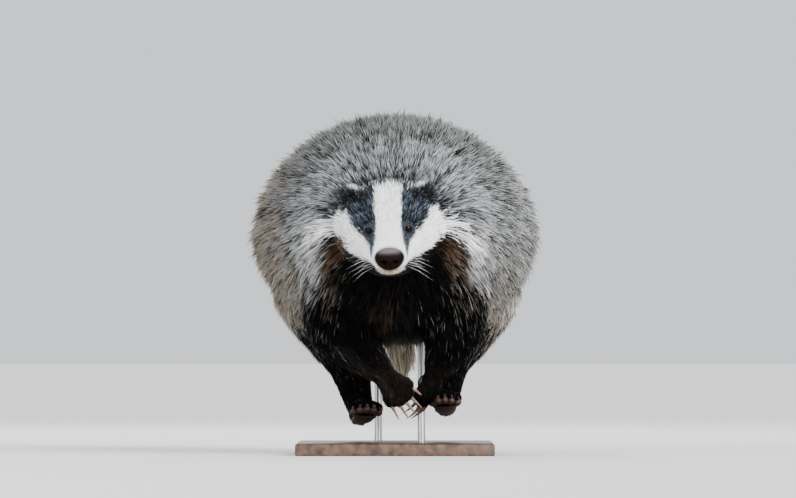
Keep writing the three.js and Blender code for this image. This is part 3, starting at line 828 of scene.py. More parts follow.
# %% Comb the skin
REACH = 8 * MM
MAP_MARGIN = 0.04
THINNEST_TUFT = 0.36 * MM
WIDER_WITH_LENGTH = 0.019
COVER = {"trunk": 12.3, "legs": 7.5, "paws": 3.4, "head": 10.4, "tail": 15}
NOSE = {"half": (16.6, 12, 13), "centre": (0, 10, -1.5)}
FALL = {"trunk": 0.42, "skull": 0.1, "jaw": 0.1}
RUFF = {"places": [(66, 0), (116, 1), (165, 0.8), (190, 0)], "longer": 7, "rise": 0.3}
RUFF_EDGE = {"side": 36, "top": -34, "foot": -46, "blend": 14}
EYE_CLEARING = 9
LID_BARE = 1.6
LIP_BARE = 0.9
LIP_END = 60
NOSE_MARGIN = 0.6


def group_of(name):
    if name in ("skull", "jaw"):
        return "head"
    if name in ("trunk", "tail"):
        return name
    return "paws" if name in PAWS else "legs"


points = mesh_points(skin)
normals = mesh_normals(skin)
field = {key: np.zeros(len(points)) for key in ("length", "depth", "cover", "head", "tail")}
lie = np.zeros_like(points)
total = np.full(len(points), 1e-12)
closest = np.full(len(points), 1e9)
map_place = np.zeros((len(points), 2))
tiles = math.ceil(math.sqrt(len(limbs)))
for tile, (name, limb) in enumerate(limbs.items()):
    t, angle, outside, along, row = limb.nearest(points)
    weight = np.exp(-np.maximum(outside, 0) / REACH)
    near = outside < closest
    closest = np.where(near, outside, closest)
    corner = np.array([tile % tiles, tile // tiles])
    spot = np.stack([t, angle / (2 * math.pi) + 0.5], 1)
    spot = MAP_MARGIN + (1 - 2 * MAP_MARGIN) * spot
    map_place = np.where(near[:, None], (corner + spot) / tiles, map_place)
    direction = along.copy()
    direction[:, 2] -= FALL.get(name, 0) * np.abs(np.cos(angle))
    lie += direction * weight[:, None]
    group = group_of(name)
    field["length"] += weight * row[:, HAIR]
    field["depth"] += weight * row[:, DEPTH]
    field["cover"] += weight * COVER[group]
    if group == "head":
        field["head"] += weight
    if group == "tail":
        field["tail"] += weight
    total += weight
for key in field:
    field[key] /= total
lie = unit(lie)
places = head_places(points)
blend = RUFF_EDGE["blend"]
beside = step_up(np.abs(places[:, 0]), RUFF_EDGE["side"], blend)
beside = beside * step_up(-places[:, 2], RUFF_EDGE["top"], blend)
beside = beside * step_up(places[:, 2], RUFF_EDGE["foot"], blend)
ruff = along_line(places[:, 1], RUFF["places"]) * beside
field["length"] += ruff * RUFF["longer"] * MM
field["depth"] += ruff * RUFF["longer"] * RUFF["rise"] * MM
field["width"] = THINNEST_TUFT + WIDER_WITH_LENGTH * field["length"]
field["density"] = field["cover"] / (field["length"] * field["width"])
for side in SIDES.values():
    reach, along = round_the_eye(places, side)
    behind = along < EYE_BACK
    field["density"] *= (reach > OPENING + LID_BARE) | behind
    shorter = np.where(behind, 1, np.clip((reach - OPENING) / EYE_CLEARING, 0.3, 1))
    for key in ("length", "depth"):
        field[key] *= shorter
nose_reach = np.array(NOSE["half"]) + NOSE_MARGIN
from_nose = np.linalg.norm((places - np.array(NOSE["centre"])) / nose_reach, axis=1)
field["density"] *= from_nose > 1
from_lips = np.abs(places[:, 2] - along_line(places[:, 1], MOUTH))
field["density"] *= (from_lips > LIP_BARE) | (places[:, 1] > LIP_END)
shortest, longest = field["length"].min() / MM, field["length"].max() / MM
print("coat length from", round(shortest, 1), "to", round(longest, 1), "mm")

# %% [markdown]
# ## Tufts
#
# A coat of single hairs would be far too heavy, so each tuft is a thin solid spike. A long tuft has a
# ring at its root, a ring in its middle and a tip, bent along the lie. A short one, for the face, has
# one ring and a tip. Long tufts cling together in locks: most tips lean towards a leader nearby.

# %% Scatter the roots
CLUMP = 11
HOVER = (0.45, 1.05)


def triangles_of(piece):
    piece.data.calc_loop_triangles()
    corners = np.empty(len(piece.data.loop_triangles) * 3, dtype=np.int32)
    piece.data.loop_triangles.foreach_get("vertices", corners)
    return corners.reshape(-1, 3)


def scatter(corners, places, density):
    """Random spots on the triangles: their corners and the share of each corner."""
    a, b, c = places[corners].transpose(1, 0, 2)
    area = np.linalg.norm(np.cross(b - a, c - a), axis=1) / 2
    expected = area * density[corners].mean(1)
    count = int(expected.sum())
    edges = np.cumsum(expected)
    chosen = np.searchsorted(edges, random.random(count) * edges[-1])
    first, second = np.sqrt(random.random(count)), random.random(count)
    share = np.stack([1 - first, first * (1 - second), first * second], 1)
    return corners[chosen], share


def mix(values, corners, share):
    picked = values[corners]
    return (picked * share.reshape(share.shape + (1,) * (picked.ndim - 2))).sum(1)


def toward_leaders(tips, roots, pull):
    """Where each tip goes when it leans toward the tip of the closest leader."""
    count = max(1, len(roots) // CLUMP)
    leaders = random.choice(len(roots), count, replace=False)
    tree = kdtree.KDTree(count)
    for k, leader in enumerate(leaders):
        tree.insert(roots[leader], k)
    tree.balance()
    own = np.array([leaders[tree.find(root)[1]] for root in roots])
    return tips + (tips[own] - tips) * pull[:, None], own


def held_near(tips, high):
    """Tips moved straight in or out, so that they hover over the skin at about their own height."""
    nearest = np.array([skin_tree.find(tip)[1] for tip in tips])
    normal = normals[nearest]
    above = ((tips - points[nearest]) * normal).sum(1)
    wanted = np.clip(above, HOVER[0] * high, HOVER[1] * high)
    return tips + normal * (wanted - above)[:, None]


skin_tree = kdtree.KDTree(len(points))
for number, point in enumerate(points):
    skin_tree.insert(point, number)
skin_tree.balance()
print("points that hold the tips near the skin:", len(points))

# %% [markdown]
# All tufts of a piece are written into one mesh at once, from arrays. Their long sides are smooth and
# their root and tip are flat. The map named OFBake shows where on the body each tuft is rooted.

# %% Write many tufts into one mesh
SIDES_OF_TUFT = 3
RING_PARTS = (0.5, 0.46)
FLATNESS = 0.7
MAP_PATCH = 0.003
RINGS = {
    "long": {
        "faces": [(0, 2, 1), (0, 1, 4, 3), (1, 2, 5, 4), (2, 0, 3, 5), (3, 4, 6), (4, 5, 6), (5, 3, 6)],
        "level": [0, 0, 0, 1, 1, 1, 2],
    },
    "short": {"faces": [(0, 2, 1), (0, 1, 3), (1, 2, 3), (2, 0, 3)], "level": [0, 1, 1, 2]},
}


def tuft_mesh(name, shape, root, middle, tip, width, flat, colours, place):
    """One mesh of many spikes, with their colours and a map that shows where each is rooted."""
    count = len(root)
    along = unit(tip - root)
    across = unit(np.cross(flat, along))
    upward = np.cross(along, across)
    rings = []
    for centre, part in zip((root, middle), RING_PARTS):
        for j in range(SIDES_OF_TUFT):
            turn = 2 * math.pi * j / SIDES_OF_TUFT + math.pi / 6
            half = (width * part)[:, None]
            rings.append(centre + across * half * math.cos(turn) - upward * half * FLATNESS * math.sin(turn))
    if shape == "short":
        rings = rings[:SIDES_OF_TUFT]
    rings.append(tip)
    points = np.stack(rings, 1)
    per_tuft = points.shape[1]
    faces, level = RINGS[shape]["faces"], np.array(RINGS[shape]["level"])
    corners = np.array([corner for face in faces for corner in face])
    sizes = np.array([len(face) for face in faces])
    mesh = bpy.data.meshes.new(name)
    mesh.vertices.add(count * per_tuft)
    mesh.vertices.foreach_set("co", points.ravel())
    mesh.loops.add(count * len(corners))
    loops = (corners[None, :] + per_tuft * np.arange(count)[:, None]).ravel()
    mesh.loops.foreach_set("vertex_index", loops.astype(np.int32))
    mesh.polygons.add(count * len(faces))
    starts = np.concatenate([[0], np.cumsum(sizes)[:-1]])
    starts = (starts[None, :] + len(corners) * np.arange(count)[:, None]).ravel()
    mesh.polygons.foreach_set("loop_start", starts.astype(np.int32))
    mesh.polygons.foreach_set("use_smooth", np.tile(sizes == 4, count))
    mesh.update(calc_edges=True)
    paint = np.ones((count, per_tuft, 4))
    paint[:, :, :3] = colours[:, level]
    layer = mesh.color_attributes.new("coat", "FLOAT_COLOR", "POINT")
    layer.data.foreach_set("color", paint.ravel())
    patch = MAP_PATCH * np.stack([np.arange(per_tuft) % 3 / 2 - 0.5, level / 2 - 0.5], 1)
    spots = place[:, None, :] + patch[None, :, :]
    unwrapped = mesh.uv_layers.new(name="OFBake")
    unwrapped.data.foreach_set("uv", spots[:, corners].ravel())
    piece = bpy.data.objects.new(name, mesh)
    bpy.context.scene.collection.objects.link(piece)
    return piece


print("shapes of tuft:", ", ".join(RINGS))

# %% [markdown]
# The coat is grown in four parts. Each tuft draws its length and its height over the skin between two
# shares of what is usual there. It also draws one kind of coat, from those that grow about halfway
# along it. A part with too many triangles for one piece is cut into slices from nose to tail.

# %% Grow the coat
COAT_LIMIT = {"long": 19500, "short": 39000}
LENGTHS = (0.72, 1.12)
HEIGHTS = (0.8, 1.15)
LEAST_LEVEL = 0.3
STRAYS = 0.06
STRAY_RISE = 1.3
LIE_SPREAD = 0.12
BEND = {"along": 0.46, "up": 0.72}
SHOWN = (0.5, 0.15)
SUNK = 1.2
CLUMPS_FROM = 76
CLUMPS_FADE = 50
BORDER_BLUR = 9
CLUMP_SHADE = 0.3
STREAKS = 0.12
STREAK_SIZE = 2.6 * MM


def shade_tufts(colours, amount):
    """A little lighter or darker from tuft to tuft."""
    factor = 1 + amount * random.uniform(-1, 1, len(colours))
    return colours * factor[:, None, None]


coat = []
triangles = triangles_of(skin)
near_face = places[:, 1] < CLUMPS_FROM + random.normal(0, BORDER_BLUR, len(points))
REGIONS = {
    "coat_head": (field["head"] > 0.5) & near_face,
    "coat_neck": (field["head"] > 0.5) & ~near_face,
    "coat_tail": (field["tail"] > 0.5),
}
region = np.full(len(points), "coat_body", dtype=object)
for name, mask in REGIONS.items():
    region[mask] = name


def grow(name, chosen, shape, pull, shade):
    corners, share = scatter(triangles[chosen], points, field["density"])
    root, normal, direction = (mix(v, corners, share) for v in (points, normals, lie))
    length, depth, width = (mix(field[k], corners, share) for k in ("length", "depth", "width"))
    tailness = mix(field["tail"], corners, share)
    place = map_place[corners[:, 0]]
    normal = unit(normal)
    direction = unit(direction - normal * (direction * normal).sum(1)[:, None])
    aside = random.normal(0, LIE_SPREAD, len(root))[:, None]
    direction = unit(direction + np.cross(normal, direction) * aside)
    long = length * random.uniform(*LENGTHS, len(root))
    high = depth * random.uniform(*HEIGHTS, len(root))
    stray = random.random(len(root)) < STRAYS
    high = np.where(stray, high * STRAY_RISE, high)
    level = np.sqrt(np.maximum(long**2 - high**2, (LEAST_LEVEL * long) ** 2))
    tip = root + direction * level[:, None] + normal * high[:, None]
    middle = root + direction * (BEND["along"] * level)[:, None] + normal * (BEND["up"] * high)[:, None]
    shown = root + direction * (level * random.normal(*SHOWN, len(root)))[:, None]
    colours = shade_tufts(drawn(markings(shown, tailness)), shade)
    if pull > 0:
        loose = np.clip((head_places(root)[:, 1] - CLUMPS_FROM) / CLUMPS_FADE, 0.1, 1)
        tip, own = toward_leaders(tip, root, random.uniform(0.15, pull, len(root)) * loose)
        lean = random.uniform(0.05, 0.3, len(root)) * loose
        middle = middle + (middle[own] - middle) * lean[:, None]
        tip = held_near(tip, high)
        of_lock = random.uniform(-1, 1, len(root))[own]
        colours = colours * (1 + CLUMP_SHADE * loose * of_lock)[:, None, None]
    colours = colours * (1 + STREAKS * ripple(root, STREAK_SIZE, 0.6))[:, None, None]
    parts = max(1, math.ceil(len(root) / COAT_LIMIT[shape]))
    order = np.argsort(root[:, 1], kind="stable")
    for k, members in enumerate(np.array_split(order, parts)):
        sunk = root[members] - normal[members] * SUNK * MM
        piece = tuft_mesh(
            f"{name}_{k + 1}", shape, sunk, middle[members], tip[members], width[members],
            normal[members], colours[members], place[members],
        )
        coat.append(piece)
    print(name, "tufts:", len(root))


for name, shape, pull, shade in (
    ("coat_body", "long", 0.75, 0.26),
    ("coat_tail", "long", 0.8, 0.2),
    ("coat_neck", "long", 0.45, 0.24),
    ("coat_head", "short", 0, 0.24),
):
    grow(name, (region[triangles] == name).sum(1) >= 2, shape, pull, shade)
print("triangles in the coat:", sum(len(triangles_of(piece)) for piece in coat))

# %% [markdown]
# The skin wears the same markings, with painted shade at the rim of the nose where the pad meets the hair.
# The colours are kept with the points of each mesh. One material reads them for the skin and another one for
# the hair.

# %% Paint skin and coat
NOSE_PAINTED_SHADE = {"amount": 0.6, "reach": 1.15, "blend": 0.16}
HAIR_SHINE = 0.05
GRAIN = 400
GRAIN_DEPTH = 0.6 * MM


def colour_skin():
    tones = blended(markings(points, field["tail"]))
    on_head = field["head"][:, None]
    colours = tones[:, :2].mean(1) * (1 - on_head) + tones[:, 1] * on_head
    # Painted shade: the skin is darkened in a thin ring round the nose pad, where the pad meets the hair.
    painted_nose_shade = step_up(-from_nose, -NOSE_PAINTED_SHADE["reach"], NOSE_PAINTED_SHADE["blend"])
    colours *= 1 - NOSE_PAINTED_SHADE["amount"] * painted_nose_shade[:, None]
    layer = skin.data.color_attributes.new("coat", "FLOAT_COLOR", "POINT")
    layer.data.foreach_set("color", np.concatenate([colours, np.ones((len(points), 1))], 1).ravel())
    loops = np.empty(len(skin.data.loops), dtype=np.int32)
    skin.data.loops.foreach_get("vertex_index", loops)
    unwrapped = skin.data.uv_layers.new(name="OFBake")
    unwrapped.data.foreach_set("uv", map_place[loops].ravel())


def coat_material(name, roughness, relief):
    """The colours of the markings, over a fine grain."""
    material, grain = rough_material(name, GRAIN, roughness - 0.1, roughness + 0.1)
    paint = material.node_tree.nodes.new("ShaderNodeVertexColor")
    paint.layer_name = "coat"
    shader = material.node_tree.nodes["Principled BSDF"]
    material.node_tree.links.new(paint.outputs["Color"], shader.inputs["Base Color"])
    set_shader(material, "Specular IOR Level", HAIR_SHINE)
    raise_relief(material, grain.outputs["Fac"], relief, GRAIN_DEPTH)
    return material


colour_skin()
skin.data.materials.append(coat_material("skin_and_short_hair", 0.75, 0.6))
hair_finish = coat_material("long_hair", 0.5, 0.2)
for piece in coat:
    piece.data.materials.append(hair_finish)
print("painted pieces:", 1 + len(coat))

# %% [markdown]
# ## Bare parts
#
# Eyes, nose, pads, claws and the stand have no hair. Their materials mix two tones by noise. Pads and
# nose carry pebbles as well, and the upper rim of the nose gets a painted grey sheen.

# %% Materials of the bare parts
RAMP = (0.35, 0.65)
FINE_DETAIL = 6
PEBBLES = {"grain": 120, "relief": 0.45, "depth": 0.4 * MM}
NOSE_SHEEN = (88, 84, 86)
NOSE_SHINE = 0.03
EYE_SHINE = 0.09


def grained_material(name, dark, light, scale, roughness, relief=0.0, depth=0.3 * MM, stretch=(1, 1, 1)):
    """Two tones mixed by noise, with matching roughness and relief."""
    low, high = roughness * 0.8, min(1, roughness * 1.2)
    material, grain = rough_material(name, scale, low, high, FINE_DETAIL, stretch)
    nodes, links = material.node_tree.nodes, material.node_tree.links
    tones = nodes.new("ShaderNodeValToRGB")
    for k, colour in enumerate((dark, light)):
        tones.color_ramp.elements[k].position = RAMP[k]
        tones.color_ramp.elements[k].color = (*linear(*colour), 1)
    links.new(grain.outputs["Fac"], tones.inputs["Fac"])
    links.new(tones.outputs["Color"], nodes["Principled BSDF"].inputs["Base Color"])
    if relief:
        raise_relief(material, grain.outputs["Fac"], relief, depth)
    return material


def pebbled_material(name, dark, light, scale, roughness):
    """Bare skin with fine pebbles, as on a nose or a pad."""
    material = grained_material(name, dark, light, PEBBLES["grain"], roughness)
    nodes, links = material.node_tree.nodes, material.node_tree.links
    pebbles = nodes.new("ShaderNodeTexVoronoi")
    pebbles.inputs["Scale"].default_value = scale
    links.new(nodes["Mapping"].outputs["Vector"], pebbles.inputs["Vector"])
    raise_relief(material, pebbles.outputs["Distance"], PEBBLES["relief"], PEBBLES["depth"], invert=True)
    return material


eye_finishes = [
    grained_material("pupil", (2, 1, 1), (4, 3, 3), 300, 0.05),
    grained_material("iris", (6, 4, 3), (11, 7, 5), 700, 0.06),
    grained_material("eye_white", (10, 8, 7), (18, 14, 12), 300, 0.1),
]
for finish in eye_finishes:
    set_shader(finish, "Specular IOR Level", EYE_SHINE)
nose_finish = pebbled_material("nose_skin", (10, 3, 3), (19, 6, 6), 1300, 0.55)
set_shader(nose_finish, "Specular IOR Level", NOSE_SHINE)
nose_nodes, nose_links = nose_finish.node_tree.nodes, nose_finish.node_tree.links
# The grey on the upper rim of the nose pad is a painted sheen: the light that the wet pad shows on its top.
sheen_share = nose_nodes.new("ShaderNodeVertexColor")
sheen_share.layer_name = "rim"
with_sheen = nose_nodes.new("ShaderNodeMixRGB")
with_sheen.inputs["Color2"].default_value = (*linear(*NOSE_SHEEN), 1)
nose_links.new(sheen_share.outputs["Color"], with_sheen.inputs["Fac"])
nose_links.new(nose_nodes["Color Ramp"].outputs["Color"], with_sheen.inputs["Color1"])
nose_links.new(with_sheen.outputs["Color"], nose_nodes["Principled BSDF"].inputs["Base Color"])
pad_finishes = {
    "fore": pebbled_material("fore_pad_skin", (18, 12, 11), (38, 26, 23), 900, 0.6),
    "hind": pebbled_material("hind_pad_skin", (28, 11, 8), (56, 24, 18), 900, 0.65),
}
claw_finishes = {
    "fore": grained_material("fore_horn", (92, 69, 58), (148, 120, 104), 60, 0.4, 0.3, 0.1 * MM, (6, 1, 6)),
    "hind": grained_material("hind_horn", (44, 33, 27), (84, 66, 54), 60, 0.4, 0.3, 0.1 * MM, (6, 1, 6)),
}
print("materials:", ", ".join(material.name for material in bpy.data.materials))

# %% [markdown]
# ## Eyes
#
# The eyeball is a sphere whose pole looks forward, which makes iris and pupil plain rings of faces.

# %% Eyes
PUPIL = 0.42
IRIS = 0.86

eyes = {}
for word, side in SIDES.items():
    look = Vector(gaze(side))
    place = HEAD @ Matrix.Translation(Vector((side * EYE["x"], EYE["along"], EYE["up"])) * MM)
    bpy.ops.mesh.primitive_uv_sphere_add(segments=40, ring_count=32, radius=EYE["radius"] * MM)
    eye = new_piece(f"eyeball_{word}")
    eye.matrix_world = place @ look.to_track_quat("Z", "Y").to_matrix().to_4x4()
    for finish in eye_finishes:
        eye.data.materials.append(finish)
    for face in eye.data.polygons:
        away = math.hypot(face.center.x, face.center.y) / (EYE["radius"] * MM)
        ahead = face.center.z > 0
        face.material_index = 0 if ahead and away < PUPIL else 1 if ahead and away < IRIS else 2
    apply_place(eye)
    bpy.ops.object.shade_smooth()
    eyes[word] = eye
print("eyes:", len(eyes))

# %% [markdown]
# ## Nose
#
# The nose pad starts as a sphere too. Its front is flattened, each nostril is pressed in with a slit
# that runs outward, and a groove parts the pad below.

# %% Nose
FRONT = {"from": -8, "flatter": 0.72}
NOSTRIL = {"x": 6.4, "up": -2, "half_width": 2.9, "half_height": 2.2, "depth": 5.5}
SLIT = {"up": 0.2, "slope": 0.28, "depth": 1.8}
SWELLING = {"at": 1.6, "height": 0.35}
GROOVE = {"half": 0.7, "top": 2, "fade": 5, "depth": 1.1}
PAINTED_SHEEN = {"from": 8.6, "blend": 3.6}

half = np.array(NOSE["half"])
bpy.ops.mesh.primitive_uv_sphere_add(segments=96, ring_count=64, radius=1)
nose = new_piece("nose_pad")
x, y, z = (mesh_points(nose) * half).T
y = np.where(y < FRONT["from"], FRONT["from"] + (y - FRONT["from"]) * FRONT["flatter"], y)
x = x * (1 + 0.10 * np.clip(z / 12, -1, 1))
for side in SIDES.values():
    across = (x - side * NOSTRIL["x"]) / NOSTRIL["half_width"]
    above = (z - NOSTRIL["up"]) / NOSTRIL["half_height"]
    hole = np.exp(-((across**2 + above**2) ** 1.6))
    outward = side * x - NOSTRIL["x"]
    slit_at = NOSTRIL["up"] + SLIT["up"] - SLIT["slope"] * np.maximum(outward, 0)
    slit = np.exp(-((z - slit_at) ** 2)) * np.clip(outward / 2, 0, 1)
    swelling = np.exp(-((np.sqrt(across**2 + above**2) - SWELLING["at"]) ** 2) * 4)
    pressed = NOSTRIL["depth"] * hole + SLIT["depth"] * slit * (1 - hole) - SWELLING["height"] * swelling
    y = np.where(y < 0, y + pressed, y)
groove = np.exp(-((x / GROOVE["half"]) ** 2)) * np.clip((GROOVE["top"] - z) / GROOVE["fade"], 0, 1)
y = np.where(y < 0, y + GROOVE["depth"] * groove, y)
# Painted sheen: how much grey is painted on, rising towards the top of the pad.
rim = step_up(z, PAINTED_SHEEN["from"], PAINTED_SHEEN["blend"])[:, None] * np.ones(3)
layer = nose.data.color_attributes.new("rim", "FLOAT_COLOR", "POINT")
layer.data.foreach_set("color", np.concatenate([rim, np.ones((len(rim), 1))], 1).ravel())
set_points(nose, back_to_world(np.stack([x, y, z], 1) + np.array(NOSE["centre"])))
select_only(nose)
bpy.ops.object.shade_smooth()
nose.data.materials.append(nose_finish)
print("nose pad", round(nose.dimensions.x / MM, 1), "mm wide")

# %% [markdown]
# ## Ears
#
# The ears are small, round and low. Each one starts as a flat sphere; its front is pressed into a
# cup with a thick rim. It carries short dark hair and a white fringe along its upper inner edge.

# %% Ears
EAR = {"x": 40, "along": 128, "up": 37, "half_width": 12.5, "half_height": 16, "half_depth": 7.5}
EAR_TURN = (-0.25, 0.42, 0.45)
CUP_REACH = [0, 0.45, 0.68, 0.84, 1.0]
CUP_LEVEL = [2.6, 1.4, -2.4, -4.4, 0.0]
EAR_HAIR = {"count": 5200, "length": 8.5, "width": 0.6, "fringe": 8, "flecks": 0.12, "shade": 0.45}
EAR_AREA = 0.0016
EAR_WHITE = {"from": 18, "blend": 1.6, "slant": 0.9, "start": 0.75, "most": 0.85}
EAR_SPREAD = 0.28


def ear_frame(side):
    place = HEAD @ Matrix.Translation(Vector((side * EAR["x"], EAR["along"], EAR["up"])) * MM)
    turn_x = Matrix.Rotation(EAR_TURN[0], 4, "X")
    turn_y = Matrix.Rotation(side * EAR_TURN[1], 4, "Y")
    turn_z = Matrix.Rotation(side * EAR_TURN[2], 4, "Z")
    return place @ turn_x @ turn_y @ turn_z


ears = {}
for word, side in SIDES.items():
    bpy.ops.mesh.primitive_uv_sphere_add(segments=64, ring_count=48, radius=1)
    ear = new_piece(f"ear_{word}_skin")
    shape = mesh_points(ear)
    reach = np.hypot(shape[:, 0], shape[:, 2])
    depth = np.where(shape[:, 1] < 0, np.interp(reach, CUP_REACH, CUP_LEVEL), shape[:, 1] * EAR["half_depth"])
    shape = np.stack([shape[:, 0] * EAR["half_width"], depth, shape[:, 2] * EAR["half_height"]], 1) * MM
    set_points(ear, shape)
    modify(ear, "SMOOTH", factor=0.5, iterations=3)
    shape = mesh_points(ear) / MM
    normal = mesh_normals(ear)
    density = np.full(len(shape), EAR_HAIR["count"] / EAR_AREA)
    corners, share = scatter(triangles_of(ear), shape * MM, density)
    root, outward = mix(shape, corners, share), unit(mix(normal, corners, share))
    toward_rim = unit(root * np.array([1, 0.1, 1]) + np.array([0, 0, 6]))
    inner_height = root[:, 2] - EAR_WHITE["slant"] * side * root[:, 0]
    upper = step_up(inner_height, EAR_WHITE["from"], EAR_WHITE["blend"])
    reach = np.hypot(root[:, 0] / EAR["half_width"], root[:, 2] / EAR["half_height"])
    edge = np.clip((reach - EAR_WHITE["start"]) / (1 - EAR_WHITE["start"]), 0, 1)
    length = EAR_HAIR["length"] + (EAR_HAIR["fringe"] - EAR_HAIR["length"]) * upper * edge
    length = length * random.uniform(0.6, 1.1, len(root))
    heading = unit(toward_rim + outward * 0.6 + random.normal(0, EAR_SPREAD, root.shape))
    tip = root + heading * length[:, None]
    white = np.clip(upper * edge * 1.5, 0, 1) * (random.random(len(root)) < EAR_WHITE["most"])
    flecked = (random.random(len(root)) < EAR_HAIR["flecks"])[:, None, None]
    dark = np.where(flecked, COLOURS["fleck"][None], COLOURS["ear"][None])
    colours = dark + (COLOURS["white"][None] - dark) * white[:, None, None]
    turn = np.array(ear_frame(side))
    turned = [(p * MM) @ turn[:3, :3].T + turn[:3, 3] for p in (root, (root + tip) / 2, tip)]
    spot = np.stack([0.8 + 0.001 * root[:, 0], 0.9 + 0.001 * root[:, 2]], 1)
    width = np.full(len(root), EAR_HAIR["width"] * MM)
    fringe = tuft_mesh(
        f"ear_{word}_hair", "short", *turned, width,
        outward @ turn[:3, :3].T, shade_tufts(colours, EAR_HAIR["shade"]), spot,
    )
    fringe.data.materials.append(hair_finish)
    coat.append(fringe)
    ear.matrix_world = ear_frame(side)
    apply_place(ear)
    bpy.ops.object.shade_smooth()
    ear.data.materials.append(grained_material(f"ear_skin_{word}", (24, 20, 19), (46, 39, 36), 260, 0.8, 0.5))
    ears[word] = ear
print("ears:", len(ears))

# %% [markdown]
# ## Claws
#
# A claw is a circle drawn out ring by ring, each ring smaller, lower and turned a little further
# down. One fore claw and one hind claw are modelled, and each is copied to ten toes. Each toe has a
# ball under it, and each paw has one or two broad pads.

# %% Claws and pads
CLAW_RINGS = 10
CLAW_SIDES = 12
CLAW_TAPER = 0.85
CLAW_NARROWER = 0.8
DARK_CLAWED = "forepaw_left"
TOE_PAD = (5.6, 7.4, 4.6)


def claw_master(name, size, finish):
    upright = (math.pi / 2, 0, 0)
    bpy.ops.mesh.primitive_circle_add(vertices=CLAW_SIDES, radius=1, fill_type="NGON", rotation=upright)
    claw = new_piece(name)
    apply_place(claw)
    bpy.ops.object.mode_set(mode="EDIT")
    outline = [v.co.copy() for v in bmesh.from_edit_mesh(claw.data).verts]
    for k in range(CLAW_RINGS + 1):
        if k:
            bpy.ops.mesh.extrude_region_move()
        s = k / CLAW_RINGS
        radius = size["radius"] * (1 - CLAW_TAPER * s)
        centre = Vector((0, size["length"] * s, -size["bend"] * s * s))
        shape = bmesh.from_edit_mesh(claw.data)
        ring = [v for v in shape.verts if v.select]
        if k:
            before = size["radius"] * (1 - CLAW_TAPER * (k - 1) / CLAW_RINGS)
            middle = sum((v.co for v in ring), Vector()) / len(ring)
            for vertex in ring:
                vertex.co = centre + (vertex.co - middle) * (radius / before)
        else:
            for vertex, start in zip(ring, outline):
                vertex.co = centre + Vector((start.x * CLAW_NARROWER, 0, start.z)) * radius
        bmesh.update_edit_mesh(claw.data)
    bpy.ops.mesh.select_all(action="SELECT")
    bpy.ops.mesh.normals_make_consistent(inside=False)
    bpy.ops.object.mode_set(mode="OBJECT")
    modify(claw, "SUBSURF", levels=1)
    bpy.ops.object.shade_smooth()
    claw.data.materials.append(finish)
    return claw


masters = {
    "fore": claw_master("fore_claw", FORE_CLAW, claw_finishes["fore"]),
    "hind": claw_master("hind_claw", HIND_CLAW, claw_finishes["hind"]),
}
claws = {}
pads = {"fore": [], "hind": []}
for name, paw in PAWS.items():
    size = paw["size"]
    for i, (centre, splay) in enumerate(toe_places(paw), start=1):
        at = centre + Vector((math.sin(splay) * size["toe_length"] * 0.5, size["toe_length"] * 0.6, 0)) * MM
        claw = masters[name[:4]].copy()
        claw.data = masters[name[:4]].data.copy()
        claw.name = f"{name.replace('paw', 'claw')}_{i}_horn"
        if name == DARK_CLAWED:
            claw.data.materials[0] = claw_finishes["hind"]
        bpy.context.scene.collection.objects.link(claw)
        turn = Matrix.Rotation(-splay, 4, "Z") @ Matrix.Scale(MM, 4)
        claw.matrix_world = paw["frame"] @ Matrix.Translation(at) @ turn
        apply_place(claw)
        claws[f"{name.replace('paw', 'claw')}_{i}"] = claw
        under = centre + Vector((0, 4, -size["toe"] * 0.6)) * MM
        pad = ball(f"pad_{name}", under, Vector(TOE_PAD) * MM, paw["frame"], (0, 0, -splay))
        pads[name[:4]].append(pad)
    w, h = size["half_width"], size["half_height"]
    soles = [((0, size["length"] - 20, -h * 0.72), (w * 0.8, 9.5, h * 0.46))]
    if name.startswith("hind"):
        soles.append(((0, 34, -h * 0.7), (w * 0.72, 27, h * 0.4)))
    for middle, radii in soles:
        pad = ball(f"sole_{name}", Vector(middle) * MM, Vector(radii) * MM, paw["frame"], segments=32)
        pads[name[:4]].append(pad)
for master in masters.values():
    bpy.data.objects.remove(master)
for end, balls in pads.items():
    pads[end] = joined(balls, f"pads_{end}")
    modify(pads[end], "SUBSURF", levels=1)
    bpy.ops.object.shade_smooth()
    pads[end].data.materials.append(pad_finishes[end])
print("claws:", len(claws))

# %% [markdown]
# ## Whiskers
#
# Pale whiskers stand out from the upper lip. They are the same spikes as the coat, but single, thin
# and stiff.

# %% Whiskers
WHISKERS = {"rows": 3, "each": 3, "length": 40, "width": 0.34}
starts, bends, ends = [], [], []
for side in SIDES.values():
    for r in range(WHISKERS["rows"]):
        for k in range(WHISKERS["each"]):
            start = np.array([side * (15.5 + 1.1 * k), 18 + 5.5 * k, -3 - 4 * r])
            aim = unit(np.array([side * (1.2 + 0.1 * k), 0.35 + 0.15 * k, -0.35 - 0.22 * r + 0.12 * k]))
            long = WHISKERS["length"] * random.uniform(0.6, 1.05)
            starts.append(start)
            bends.append(start + aim * long * 0.5 + np.array([0, 0, 1.5]))
            ends.append(start + aim * long + np.array([0, 3, -4]) * random.uniform(0.4, 1.2))
count = len(starts)
whiskers = tuft_mesh(
    "whiskers", "long", *(back_to_world(np.array(row)) for row in (starts, bends, ends)),
    np.full(count, WHISKERS["width"] * MM), np.tile([0.0, 0.0, 1.0], (count, 1)),
    np.tile(COLOURS["white"], (count, 1, 1)), np.full((count, 2), 0.95),
)
whiskers.data.materials.append(hair_finish)
print("whiskers:", count)

# %% [markdown]
# ## Display stand
#
# The animal is caught in the air, so two steel rods carry it over a flat wooden base. The base is a
# flat cube: its upright corners are rounded widely first, and then every sharp edge a little.

# %% Stand
BASE = (230, 380, 14)
BASE_CORNER = 30
BASE_EDGE = 2.2
ROD_RADIUS = 4.5
ROD_SIDES = 48
RODS = {"front": ((31, 22), (14.3, 148.6)), "rear": ((-20, 150), (14.3, 156.2))}

